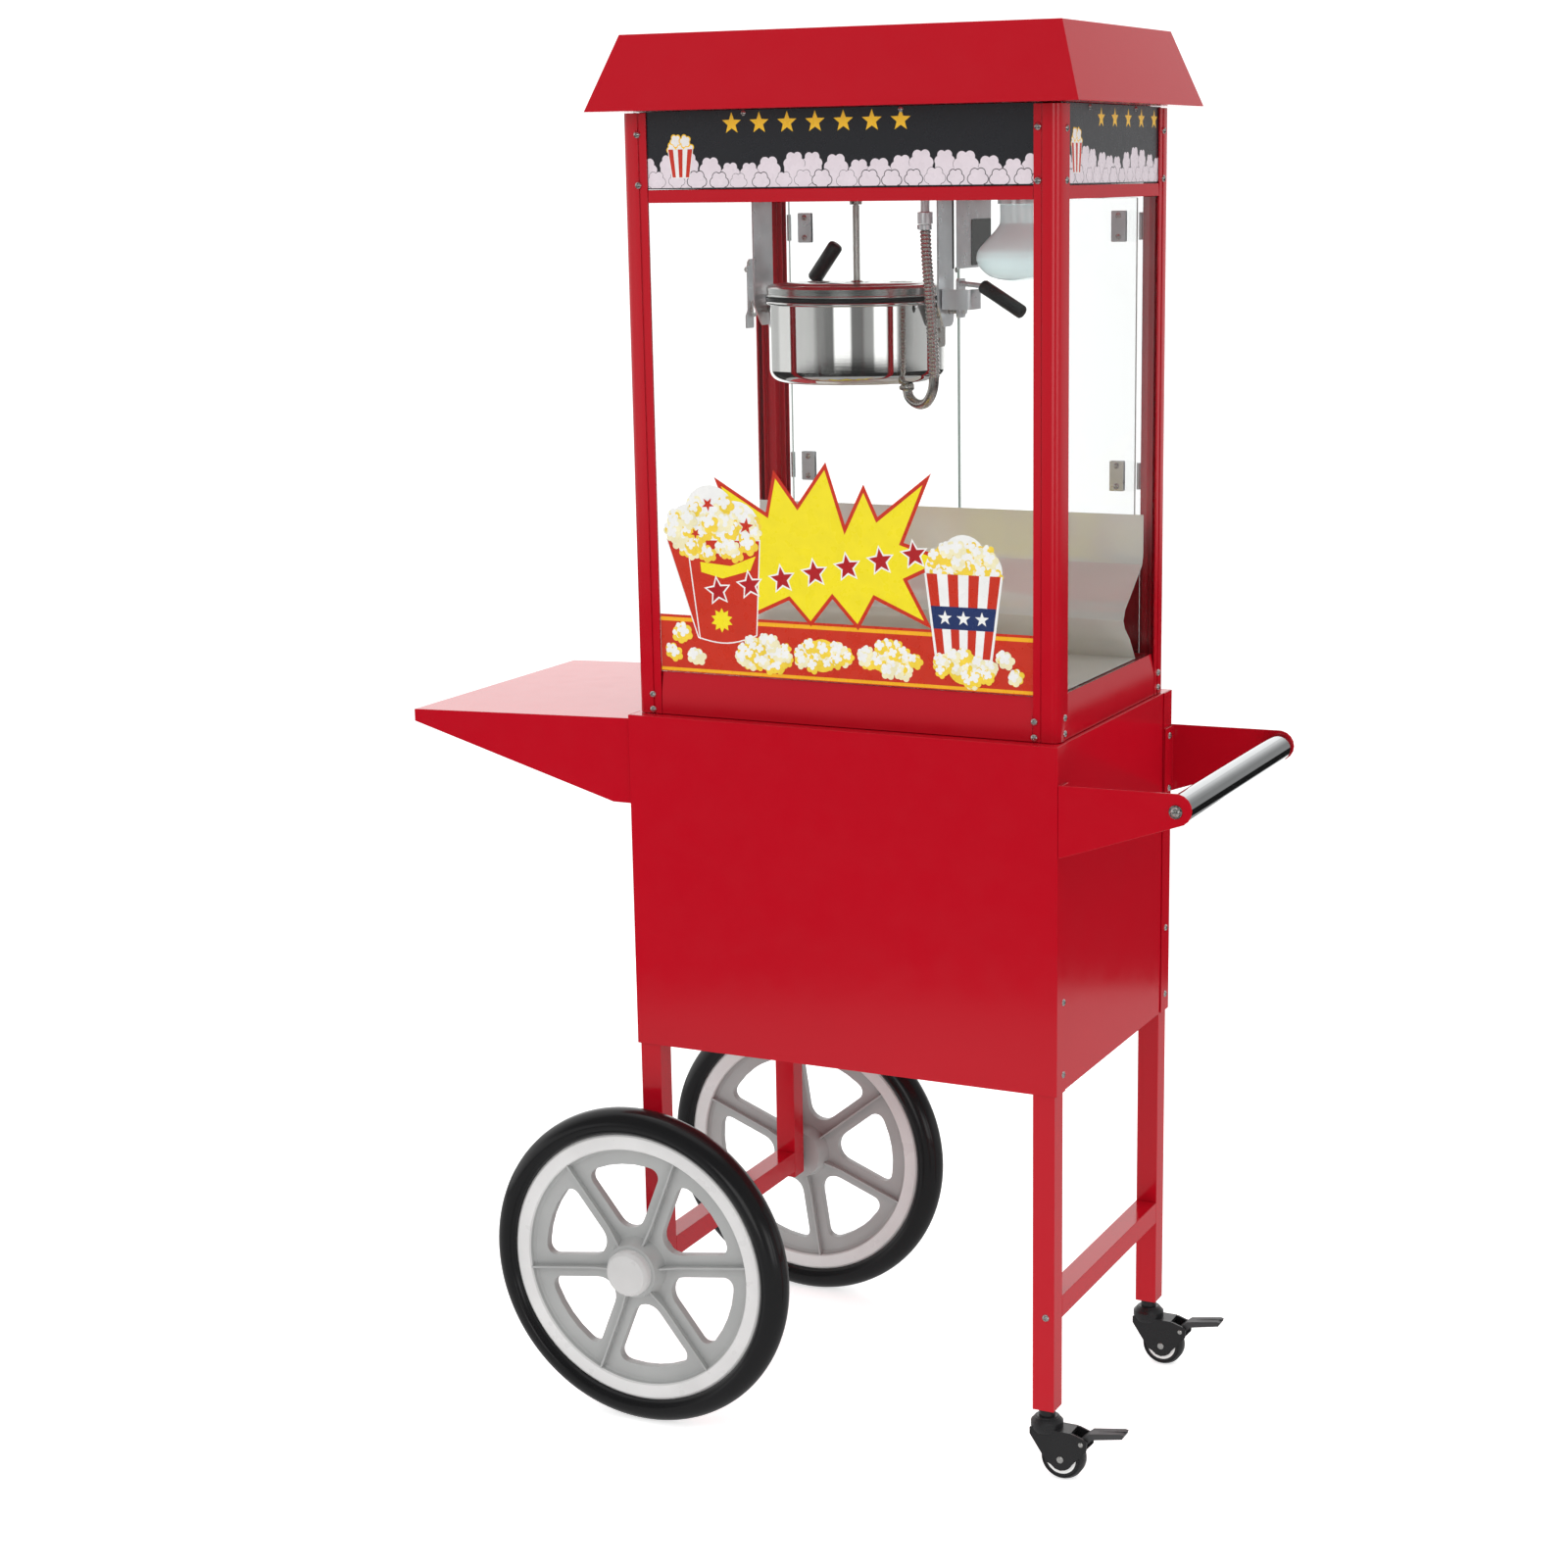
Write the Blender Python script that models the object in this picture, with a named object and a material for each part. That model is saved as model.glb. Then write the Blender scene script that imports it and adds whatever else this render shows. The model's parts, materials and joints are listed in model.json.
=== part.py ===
"""A popcorn cart: a glazed popcorn machine on a two-wheeled trolley.

Metres, +Z up. The origin is the middle of the footprint on the ground. The push
handle is towards +X, the side shelf and the big wheels towards -X, the customer's
side is -Y and the operator's side, with the doors, is +Y. Most pieces are placed
from the middle of the trolley box, which the empty cart_centre marks.
"""

import math

import bmesh
import bpy
from mathutils import Matrix, Vector

# Driving dimensions
HEIGHT = 1.550
LENGTH = 0.940
DEPTH = 0.510
GAP = 0.0003  # between pieces that touch
SHEET = 0.0012  # folded sheet metal
HANDLE_TIP_X = 0.401  # from the box's middle
CENTRE_X = LENGTH / 2 - HANDLE_TIP_X  # the box's middle, from the origin

# Trolley box
BOX_X = 0.255  # half length
BOX_Y = 0.182  # half depth
BOX_BOTTOM = 0.441
BOX_TOP = 0.821
RETURN = 0.026  # how far the front and rear sheets wrap onto the sides
STORE_X, STORE_LOW, STORE_HIGH = 0.190, 0.480, 0.785  # rear door opening
DOOR_CLEAR = 0.0012  # round the rear door

# Legs, axle and wheels
LEG = 0.025
LEG_WALL = 0.0015
LEG_X = BOX_X - 2 * SHEET - 2 * GAP - LEG / 2
LEG_Y = BOX_Y - SHEET - GAP - LEG / 2
LEG_TOP = BOX_TOP - SHEET - 2 * GAP
LEFT_LEG_BOTTOM = 0.169
RIGHT_LEG_BOTTOM = 0.079
WHEEL_R = 0.1875
WHEEL_Y = 0.2174
RIM_R = 0.1595
AXLE_R = 0.006
CAP_Y = DEPTH / 2
WHEEL_STEPS = 44
FRONT_PHASE, REAR_PHASE = 8.5, 38.5  # how far each wheel is turned at rest, in degrees

# Casters
CASTER_R = 0.025
CASTER_TRAIL = 0.020
CASTER_HALF_WIDTH = 0.0095
CHEEK = 0.0025

# Machine on top of the box
CAB_X, CAB_Y = 0.2498, 0.1665  # half sizes over the posts
BASE_BOTTOM = BOX_TOP + 2 * GAP
BASE_TOP = 0.869
SILL_LOW = 0.8455  # where the base's sides start to slope in
POST_TOP = 1.4690
POST_ARM = 0.029
POST_BODY = 0.020
SLOT_NEAR, SLOT_FAR = 0.0028, 0.0069  # the glazing slot, from the post's outer face
PANE = 0.0035
RAIL_LOW, RAIL_HIGH = 1.3755, 1.3890
OPEN_X = CAB_X - POST_ARM - 0.0005  # half widths between the posts' arms
OPEN_Y = CAB_Y - POST_ARM - 0.0005
DOOR_LOW = 1.0215
DOOR_HINGE_X, DOOR_HINGE_Y = 0.2178, CAB_Y + GAP
DOOR_PANE = 0.0040
SWITCH_X = (0.060, 0.095, 0.130)
SWITCH_Z = 1.4320

# Roof
ROOF_LOW_X, ROOF_LOW_Y = 0.2795, 0.1945
ROOF_TOP_X, ROOF_TOP_Y = 0.2506, 0.1649
ROOF_HOLE_X, ROOF_HOLE_Y = 0.205, 0.125  # the opening inside its flange
ROOF_LOW = 1.4705
ROOF_SHEET = 0.0015

# Kettle
KETTLE_X = -0.053
KETTLE_R = 0.0975
KETTLE_LOW, KETTLE_RIM = 1.180, 1.272
PIVOT_Z = 1.2575
TRUNNION_END = KETTLE_R + 0.025  # from the kettle's middle
LID_TOP = 1.2868
FLAP_Y = 0.0125  # the hinge line of the lid's rear half
SHAFT_R = 0.00375
SHAFT_TOP, TANG = 1.3698, 0.0052  # the stirrer's shoulder, and the height of its tang
STEEL = 0.0010
CEILING = RAIL_HIGH - SHEET - GAP  # where things hang from, under the header pan
DECK = RAIL_HIGH + GAP  # where things stand, on the header pan

# Kettle's lead, from the ceiling down to a loop under the kettle
CONDUIT_R = 0.0062
CONDUIT_END = (0.0230, -0.0360, 1.1740)
CONDUIT_ROUTE = (
    (0.0552, -0.0580, 1.3500),
    (0.0555, -0.0580, 1.3370),
    (0.0566, -0.0581, 1.3150),
    (0.0586, -0.0582, 1.2900),
    (0.0606, -0.0583, 1.2620),
    (0.0626, -0.0584, 1.2340),
    (0.0642, -0.0584, 1.2110),
    (0.0646, -0.0584, 1.1910),
    (0.0618, -0.0570, 1.1745),
    (0.0542, -0.0530, 1.1630),
    (0.0442, -0.0474, 1.1590),
    (0.0338, -0.0418, 1.1605),
    (0.0262, -0.0378, 1.1655),
    (0.0237, -0.0363, 1.1702),
    CONDUIT_END,
)

# Lamp
LAMP_X, LAMP_Y = 0.1545, -0.045
SHIELD_X, SHIELD_FRONT, SHIELD_REAR = 0.0910, -0.0588, 0.0350
BULB_PROFILE = (  # radius and height, from the crown up to the neck
    (0.0000, 1.2902),
    (0.0102, 1.2915),
    (0.0232, 1.2940),
    (0.0318, 1.2978),
    (0.0388, 1.3045),
    (0.0420, 1.3110),
    (0.0426, 1.3138),
    (0.0424, 1.3170),
    (0.0405, 1.3231),
    (0.0336, 1.3315),
    (0.0240, 1.3416),
    (0.0189, 1.3484),
    (0.0176, 1.3534),
    (0.0176, 1.3700),
    (0.0000, 1.3700),
)


# Scene, materials and object helpers

def clear_scene():
    for item in list(bpy.data.objects):
        bpy.data.objects.remove(item)


def material(name, colour, roughness, metallic=0.0, alpha=1.0):
    made = bpy.data.materials.new(name)
    made.use_nodes = True
    shader = made.node_tree.nodes["Principled BSDF"]
    shader.inputs["Base Color"].default_value = (*colour, 1.0)
    shader.inputs["Roughness"].default_value = roughness
    shader.inputs["Metallic"].default_value = metallic
    shader.inputs["Alpha"].default_value = alpha
    return made


def empty(name, at, parent=None):
    made = bpy.data.objects.new(name, None)
    made.location = at
    made.parent = parent
    bpy.context.scene.collection.objects.link(made)
    return made


def piece(name, mesh, finish, parent, at=(0, 0, 0)):
    """An object of its own, with a copy of the finish, smooth where its faces curve."""
    made = bpy.data.objects.new(name, mesh)
    own = finish.copy()
    own.name = name
    mesh.materials.clear()
    mesh.materials.append(own)
    mesh.shade_smooth()
    mesh.set_sharp_from_angle(angle=math.radians(35))
    made.location = at
    made.parent = parent
    bpy.context.scene.collection.objects.link(made)
    return made


def boolean(target, mesh, operation, at=(0, 0, 0)):
    """Cuts or joins a helper shape, given in the target's own coordinates."""
    helper = bpy.data.objects.new(f"{target.name}.tool{len(target.modifiers)}", mesh)
    helper.parent = target
    helper.location = at
    helper.hide_render = True
    helper.display_type = "WIRE"
    bpy.context.scene.collection.objects.link(helper)
    change = target.modifiers.new(f"{operation.lower()}{len(target.modifiers)}", "BOOLEAN")
    change.operation = operation
    change.solver = "EXACT"
    change.object = helper


def cut(target, mesh, at=(0, 0, 0)):
    boolean(target, mesh, "DIFFERENCE", at)


def join(target, mesh, at=(0, 0, 0)):
    boolean(target, mesh, "UNION", at)


# Mesh helpers

def finished(work, name):
    bmesh.ops.recalc_face_normals(work, faces=work.faces)
    mesh = bpy.data.meshes.new(name)
    work.to_mesh(mesh)
    work.free()
    return mesh


def box(low, high, bevel=0.0):
    work = bmesh.new()
    size = [b - a for a, b in zip(low, high)]
    middle = [(a + b) / 2 for a, b in zip(low, high)]
    bmesh.ops.create_cube(work, size=1.0)
    bmesh.ops.scale(work, vec=size, verts=work.verts)
    bmesh.ops.translate(work, vec=middle, verts=work.verts)
    if bevel:
        bmesh.ops.bevel(
            work, geom=work.edges[:], offset=bevel, segments=1, profile=0.5, affect="EDGES"
        )
    return finished(work, "box")


def on_axis(axis, u, v, along):
    """A point with u and v across the axis and one coordinate along it."""
    return {"X": (along, u, v), "Y": (u, along, v), "Z": (u, v, along)}[axis]


def prism(outline, axis, low, high):
    """An outline of (u, v) points, pushed along an axis from low to high."""
    work = bmesh.new()
    face = work.faces.new([work.verts.new(on_axis(axis, u, v, low)) for u, v in outline])
    pushed = bmesh.ops.extrude_face_region(work, geom=[face])["geom"]
    moved = [item for item in pushed if isinstance(item, bmesh.types.BMVert)]
    bmesh.ops.translate(work, vec=on_axis(axis, 0, 0, high - low), verts=moved)
    return finished(work, "prism")


def rounded(outline, radii, steps=3):
    """The outline with each corner made an arc of its radius, where that isn't 0."""
    points = [Vector(p) for p in outline]
    if not isinstance(radii, (list, tuple)):
        radii = [radii] * len(points)
    result = []
    for i, (corner, radius) in enumerate(zip(points, radii)):
        if radius == 0:
            result.append(tuple(corner))
            continue
        back = (points[i - 1] - corner).normalized()
        ahead = (points[(i + 1) % len(points)] - corner).normalized()
        half = back.angle(ahead) / 2
        centre = corner + (back + ahead).normalized() * radius / math.sin(half)
        start = corner + back * radius / math.tan(half) - centre
        sweep = (math.pi - 2 * half) * (1 if back.x * ahead.y - back.y * ahead.x < 0 else -1)
        for k in range(steps + 1):
            turn = Matrix.Rotation(sweep * k / steps, 2)
            result.append(tuple(centre + turn @ start))
    return result


def arc(centre, radius, start, end, steps):
    """Points on an arc, with angles in degrees."""
    turns = [math.radians(start + (end - start) * k / steps) for k in range(steps + 1)]
    return [(centre[0] + radius * math.cos(t), centre[1] + radius * math.sin(t)) for t in turns]


def strip(line, thickness):
    """The outline of a bent sheet whose right-hand face, looking along it, is the line."""
    points = [Vector(p) for p in line]
    legs = [(b - a).normalized() for a, b in zip(points, points[1:])]
    left = [Vector((-leg.y, leg.x)) for leg in legs]
    far = []
    for i, point in enumerate(points):
        before, after = left[max(i - 1, 0)], left[min(i, len(left) - 1)]
        mitre = (before + after).normalized()
        far.append(tuple(point + mitre * thickness / mitre.dot(after)))
    return list(line) + far[::-1]


def turned(profile, axis="Z", steps=24, closed=True):
    """A solid of revolution from (radius, height) points."""
    work = bmesh.new()
    across = {"X": (0, 0, 1), "Y": (1, 0, 0), "Z": (1, 0, 0)}[axis]
    along = {"X": (1, 0, 0), "Y": (0, 1, 0), "Z": (0, 0, 1)}[axis]
    points = [work.verts.new(Vector(across) * r + Vector(along) * h) for r, h in profile]
    pairs = list(zip(points, points[1:]))
    if closed:
        pairs.append((points[-1], points[0]))
    edges = [work.edges.new(pair) for pair in pairs]
    bmesh.ops.spin(
        work,
        geom=points + edges,
        cent=(0, 0, 0),
        axis=along,
        angle=math.tau,
        steps=steps,
        use_merge=True,
        use_duplicate=False,
    )
    bmesh.ops.remove_doubles(work, verts=work.verts, dist=1e-6)
    bmesh.ops.dissolve_degenerate(work, dist=1e-7, edges=work.edges)
    return finished(work, "turned")


def rod(radius, axis, low, high, steps=16):
    return turned([(0, low), (radius, low), (radius, high), (0, high)], axis, steps, closed=False)


def rod_between(start, end, radius, steps=12):
    start, end = Vector(start), Vector(end)
    mesh = rod(radius, "Z", 0, (end - start).length, steps)
    turn = (end - start).to_track_quat("Z", "Y").to_matrix().to_4x4()
    mesh.transform(Matrix.Translation(start) @ turn)
    return mesh


def loft(rings):
    """A closed body through rings with the same number of points, capped at both ends."""
    work = bmesh.new()
    made = [[work.verts.new(p) for p in ring] for ring in rings]
    count = len(made[0])
    for near, far in zip(made, made[1:]):
        for i in range(count):
            j = (i + 1) % count
            work.faces.new((near[i], near[j], far[j], far[i]))
    work.faces.new(made[0])
    work.faces.new(made[-1])
    return finished(work, "loft")


def rectangle(x, y, z):
    return [(-x, -y, z), (x, -y, z), (x, y, z), (-x, y, z)]


def cross(inset, wall, z):
    """The outline between the four posts: inset from the faces, wall from the posts."""
    x, y = CAB_X - inset, CAB_Y - inset
    a, b = OPEN_X - wall, OPEN_Y - wall
    half = [(x, -b), (x, b), (a, b), (a, y), (-a, y), (-a, b)]
    return [(u, v, z) for u, v in half + [(-u, -v) for u, v in half]]


# Trolley: panels, legs, shelf and handle

def wrapped_sheet(side):
    """The front (side -1) or rear (side 1) sheet, with a return onto each side."""
    outer = [(-BOX_X, BOX_Y), (BOX_X, BOX_Y), (BOX_X, BOX_Y - RETURN)]
    inner = [
        (BOX_X - SHEET, BOX_Y - RETURN),
        (BOX_X - SHEET, BOX_Y - SHEET),
        (-BOX_X + SHEET, BOX_Y - SHEET),
        (-BOX_X + SHEET, BOX_Y - RETURN),
        (-BOX_X, BOX_Y - RETURN),
    ]
    outline = [(x, y * side) for x, y in outer + inner]
    return prism(outline, "Z", BOX_BOTTOM, BOX_TOP)


def make_box(red, centre):
    piece("cart_front_panel", wrapped_sheet(-1), red, centre)
    rear = piece("cart_rear_panel", wrapped_sheet(1), red, centre)
    cut(rear, box((-STORE_X, BOX_Y - 0.01, STORE_LOW), (STORE_X, BOX_Y + 0.01, STORE_HIGH)))

    x = BOX_X - SHEET - GAP
    hoop = [(-x, BOX_BOTTOM), (-x, BOX_TOP), (x, BOX_TOP), (x, BOX_BOTTOM)]
    inside = [(u - math.copysign(SHEET, u), min(v, BOX_TOP - SHEET)) for u, v in reversed(hoop)]
    y = BOX_Y - SHEET - GAP
    piece("cart_side_and_top_shell", prism(hoop + inside, "Y", -y, y), red, centre)

    x, y = x - SHEET - GAP, y
    nx, ny = LEG_X - LEG / 2 - GAP, LEG_Y - LEG / 2 - GAP
    half = [(x, -ny), (x, ny), (nx, ny), (nx, y), (-nx, y), (-nx, ny)]
    outline = half + [(-u, -v) for u, v in half]
    floor_low = BOX_BOTTOM + 0.004
    piece("cart_floor", prism(outline, "Z", floor_low, floor_low + 0.0015), red, centre)


def make_storage_door(red, centre):
    """A folded door tray in the rear opening, hung at its -X edge."""
    hinge = empty("storage_door_hinge", (-STORE_X + DOOR_CLEAR, BOX_Y, 0), centre)
    depth = 0.012
    wide = 2 * STORE_X - 2 * DOOR_CLEAR
    low, high = STORE_LOW + DOOR_CLEAR, STORE_HIGH - DOOR_CLEAR
    door = piece("storage_door", box((0, -depth, low), (wide, 0, high)), red, hinge)
    hollow = box((SHEET, -2 * depth, low + SHEET), (wide - SHEET, -SHEET, high - SHEET))
    cut(door, hollow)


def make_leg(name, red, centre, sx, sy, bottom):
    """A square tube; the right legs have an end plate for the caster's stem."""
    at = (sx * LEG_X, sy * LEG_Y, 0)
    half, bore = LEG / 2, LEG / 2 - LEG_WALL
    leg = piece(name, box((-half, -half, bottom), (half, half, LEG_TOP)), red, centre, at)
    right = sx > 0
    floor = bottom + 0.002 if right else bottom - 0.01
    cut(leg, box((-bore, -bore, floor), (bore, bore, LEG_TOP + 0.01)))
    if right:
        cut(leg, rod(0.0056, "Z", bottom - 0.01, bottom + 0.01))
    else:
        cut(leg, rod(AXLE_R + 0.0006, "Y", -LEG, LEG), (0, 0, WHEEL_R))


def make_cross_bar(name, red, centre, sx, top):
    """An angle between two legs: a top flange and a face towards +X."""
    x = sx * LEG_X
    half, wall = LEG / 2, 0.002
    outline = [
        (x - half, top),
        (x + half, top),
        (x + half, top - LEG),
        (x + half - wall, top - LEG),
        (x + half - wall, top - wall),
        (x - half, top - wall),
    ]
    y = LEG_Y - LEG / 2 - GAP
    piece(name, prism(outline, "Y", -y, y), red, centre)


def make_shelf(red, centre):
    """A folded tray that sags a little: top, front lip and cheeks that run to the box."""
    top, lip, low, sag = 0.8165, 0.014, 0.7197, 0.0085
    near, far = -BOX_X - GAP, HANDLE_TIP_X - LENGTH
    heel, tip = near - 0.023, top - sag
    outline = [(far, tip), (far, tip - lip), (heel, low), (near, low), (near, top)]
    half, wall = 0.180, 0.0015
    shelf = piece("side_shelf", prism(outline, "Y", -half, half), red, centre)
    hollow = [
        (far + wall, tip - wall),
        (far + wall, tip - lip - 0.02),
        (heel, low - 0.02),
        (near - wall, low - 0.02),
        (near - wall, top - wall),
    ]
    cut(shelf, prism(hollow, "Y", -half + wall, half - wall))


def make_push_handle(red, chrome, centre):
    tip_r, tip_z = 0.0173, 0.7652
    tip_x = HANDLE_TIP_X - tip_r
    root, wall = BOX_X + GAP, 0.002
    outline = [(root, 0.7025), (root, 0.7810), (tip_x, tip_z + tip_r)]
    outline += arc((tip_x, tip_z), tip_r, 80, -80, 8)
    for name, side in (("front", -1), ("rear", 1)):
        low, high = sorted((side * BOX_Y, side * (BOX_Y - wall)))
        bracket = piece(f"handle_bracket_{name}", prism(outline, "Y", low, high), red, centre)
        low, high = sorted((side * (BOX_Y - 0.0005), side * (BOX_Y - RETURN)))
        join(bracket, box((root, low, 0.7045), (root + wall, high, 0.7795)))
    half, outer, inner, drop = BOX_Y - wall - GAP, 0.0150, 0.0135, 0.0016
    profile = [(inner, -half), (outer, -half), (outer, half), (inner, half)]
    piece("push_handle_tube", turned(profile, "Y", 20), chrome, centre, (tip_x, 0, tip_z - drop))


# Wheels and casters

def window_outline(middle):
    """A rounded opening between two spokes, centred on an angle in degrees."""
    half_spoke, outer = 0.013, 0.122
    near = half_spoke / math.sin(math.radians(30))
    spread = math.radians(30) - math.asin(half_spoke / outer)
    corners = [Vector((near, 0))]
    for k in (-3, -1, 1, 3):
        corners.append(outer * Vector((math.cos(spread * k / 3), math.sin(spread * k / 3))))
    turn = Matrix.Rotation(math.radians(middle), 2)
    outline = rounded(corners, [0.020, 0.010, 0, 0, 0.010], 3)
    return [tuple(turn @ Vector(p)) for p in outline]


def make_big_wheel(name, plastic, rubber, hub, side, phase):
    """A moulded wheel with six spokes and a blind hub, and its tyre."""
    hub_r, web, rim_in = 0.030, 0.005, 0.141
    profile = [
        (0, CAP_Y),
        (0.0225, CAP_Y),
        (0.0270, CAP_Y - 0.003),
        (0.0270, WHEEL_Y + 0.0246),
        (hub_r, WHEEL_Y + 0.0226),
        (hub_r + 0.004, WHEEL_Y + web),
        (rim_in - 0.002, WHEEL_Y + web),
        (rim_in, WHEEL_Y + 0.0126),
        (RIM_R - 0.003, WHEEL_Y + 0.0126),
        (RIM_R, WHEEL_Y + 0.0106),
        (RIM_R, WHEEL_Y - 0.0106),
        (RIM_R - 0.003, WHEEL_Y - 0.0126),
        (rim_in, WHEEL_Y - 0.0126),
        (rim_in - 0.002, WHEEL_Y - web),
        (hub_r + 0.004, WHEEL_Y - web),
        (hub_r, WHEEL_Y - 0.0294),
        (AXLE_R + 0.0006, WHEEL_Y - 0.0294),
        (AXLE_R + 0.0006, CAP_Y - 0.011),
        (0, CAP_Y - 0.011),
    ]
    rim_profile = [(r, side * h) for r, h in profile]
    mesh = turned(rim_profile, "Y", WHEEL_STEPS, closed=False)
    wheel = piece(f"{name}_wheel", mesh, plastic, hub)
    low, high = sorted((side * (WHEEL_Y - 0.02), side * (WHEEL_Y + 0.02)))
    for number in range(6):
        cut(wheel, prism(window_outline(30 + 60 * number + phase), "Y", low, high))
    seat = RIM_R + GAP
    half = [(0.1850, 0.0116), (0.1780, 0.0176), (0.1680, 0.0190), (seat, 0.0140)]
    section = [(WHEEL_R, 0)] + half + [(r, -h) for r, h in reversed(half)]
    tyre = turned([(r, side * WHEEL_Y + h) for r, h in section], "Y", WHEEL_STEPS)
    piece(f"{name}_tyre", tyre, rubber, hub)


def make_caster(name, black, stem, wheel_centre, pedal_pivot):
    """A swivel fork with its stem, a wheel and a brake pedal."""
    trail, inner, outer = CASTER_TRAIL, CASTER_HALF_WIDTH + 0.0005, 0.0125
    profile = [(0, 0.053), (0.016, 0.053), (0.018, 0.057), (0.018, 0.064), (0.012, 0.070),
               (0.009, 0.070), (0.009, 0.0775), (0.005, 0.0775), (0.005, 0.112), (0, 0.112)]
    fork = piece(f"{name}_caster_fork", turned(profile, "Z", 20, closed=False), black, stem)
    join(fork, box((-0.012, -outer, 0.0532), (0.032, outer, 0.0580)))
    cheek = [(-0.016, 0.0575), (-0.016, 0.050), (0.004, 0.020)]
    cheek += arc((trail, CASTER_R), 0.013, 215, 325, 4)
    cheek += [(0.050, 0.040), (0.051, 0.052), (0.034, 0.0575)]
    for low in (-outer, inner):
        join(fork, prism(cheek, "Y", low, low + outer - inner))
    join(fork, rod(0.004, "Y", -outer + 0.0005, outer - 0.0005, 12), (trail, 0, CASTER_R))
    pivot = (0.044, 0, 0.047)
    join(fork, rod(0.002, "Y", -outer + 0.0005, outer - 0.0005, 8), pivot)

    half = CASTER_HALF_WIDTH
    profile = [(0.0045, -half), (0.021, -half), (0.0242, -0.0075), (CASTER_R, -0.0045),
               (CASTER_R, 0.0045), (0.0242, 0.0075), (0.021, half), (0.0045, half)]
    piece(f"{name}_caster_wheel", turned(profile, "Y", 28), black, wheel_centre)

    lever = arc((0, 0), 0.0045, 150, 330, 4) + [
        (0.012, 0.006), (0.046, 0.013), (0.048, 0.018), (0.044, 0.0185), (0.008, 0.0125),
    ]
    pedal = piece(f"{name}_caster_brake", prism(lever, "Y", -0.0085, 0.0085), black, pedal_pivot)
    cut(pedal, rod(0.0026, "Y", -0.02, 0.02, 8))


def make_running_gear(plastic, rubber, black, zinc, centre):
    axle_x = -LEG_X
    half = CAP_Y - 0.0115
    piece("wheel_axle", rod(AXLE_R, "Y", -half, half), zinc, centre, (axle_x, 0, WHEEL_R))
    for name, side, phase in (("front", -1, FRONT_PHASE), ("rear", 1, REAR_PHASE)):
        hub = empty(f"{name}_wheel_hub", (axle_x, 0, WHEEL_R), centre)
        make_big_wheel(name, plastic, rubber, hub, side, phase)
        stem = empty(f"{name}_caster_stem", (LEG_X, side * LEG_Y, 0), centre)
        wheel = empty(f"{name}_caster_axle", (CASTER_TRAIL, 0, CASTER_R), stem)
        pivot = empty(f"{name}_brake_pivot", (0.044, 0, 0.047), stem)
        make_caster(name, black, stem, wheel, pivot)


# Machine: posts, base, header and roof

def post_outline():
    """An aluminium corner section as (u, v) from the outer corner, u along X, v along Y."""
    face, groove, body, arm = 0.0008, 0.0016, POST_BODY, POST_ARM
    half = [(arm, face), (body + 0.0005, face), (body + 0.0005, groove),
            (body - 0.0007, groove), (body - 0.0007, 0)]
    corner = [(0.009 - 0.009 * math.sin(t), 0.009 - 0.009 * math.cos(t))
              for t in (math.pi / 2 * k / 5 for k in range(6))]
    inner = [(SLOT_NEAR, arm), (SLOT_NEAR, body + 0.0005), (SLOT_FAR, body + 0.0005),
             (SLOT_FAR, 0.0265), (0.0084, 0.0265), (0.0084, body)]
    outside = half + corner + [(v, u) for u, v in reversed(half)]
    return outside + inner + [(body, body)] + [(v, u) for u, v in reversed(inner)]


def make_posts(red, centre):
    for name, sx, sy in (("front_left", -1, -1), ("front_right", 1, -1),
                         ("rear_left", -1, 1), ("rear_right", 1, 1)):
        outline = [(sx * (CAB_X - u), sy * (CAB_Y - v)) for u, v in post_outline()]
        piece(f"{name}_post", prism(outline, "Z", BASE_BOTTOM, POST_TOP), red, centre)


def make_base(red, centre):
    """The machine's base, with a sloping sill and a raised rear wall under the doors."""
    floor = BASE_BOTTOM + 0.0016
    rings = [
        cross(0.0012, 0, BASE_BOTTOM),
        cross(0.0012, 0, SILL_LOW),
        cross(0.0045, 0, BASE_TOP),
        cross(0.0062, SHEET, BASE_TOP),
        cross(0.0062, SHEET, floor),
    ]
    base = piece("machine_base", loft(rings), red, centre)
    outer = CAB_Y - 0.0012
    join(base, box((-OPEN_X, outer - SHEET, 0.830), (OPEN_X, outer, DOOR_LOW - 0.003)))
    cut(base, box((-0.150, 0.14, 0.8246), (0.150, 0.18, 0.8640)))


def make_drawer(steel, centre):
    """The crumb drawer, which slides out at the rear under the doors."""
    y = CAB_Y - 0.0012 + GAP
    low, high = 0.8252, 0.8600
    body = box((-0.1485, -0.100, low), (0.1485, y + 0.0008, high))
    drawer = piece("crumb_drawer", body, steel, centre)
    cut(drawer, box((-0.1475, -0.099, low + STEEL), (0.1475, y - 0.0005, high + 0.01)))
    join(drawer, box((-0.156, y, low), (0.156, y + SHEET, 0.8680)))
    join(drawer, box((-0.030, y + SHEET / 2, 0.8520), (0.030, y + 0.014, 0.8535)))


def make_header(red, centre):
    """The ceiling pan between the posts, whose rim is the rail over the glass."""
    rings = [
        cross(0.0016, 0, RAIL_HIGH),
        cross(0.0010, 0, RAIL_LOW),
        cross(0.0010 + SHEET, SHEET, RAIL_LOW),
        cross(0.0010 + SHEET, SHEET, RAIL_HIGH - SHEET),
    ]
    pan = piece("header_pan", loft(rings), red, centre)
    cut(pan, rod(0.0085, "Z", 1.38, 1.40), (KETTLE_X, 0, 0))


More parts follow.
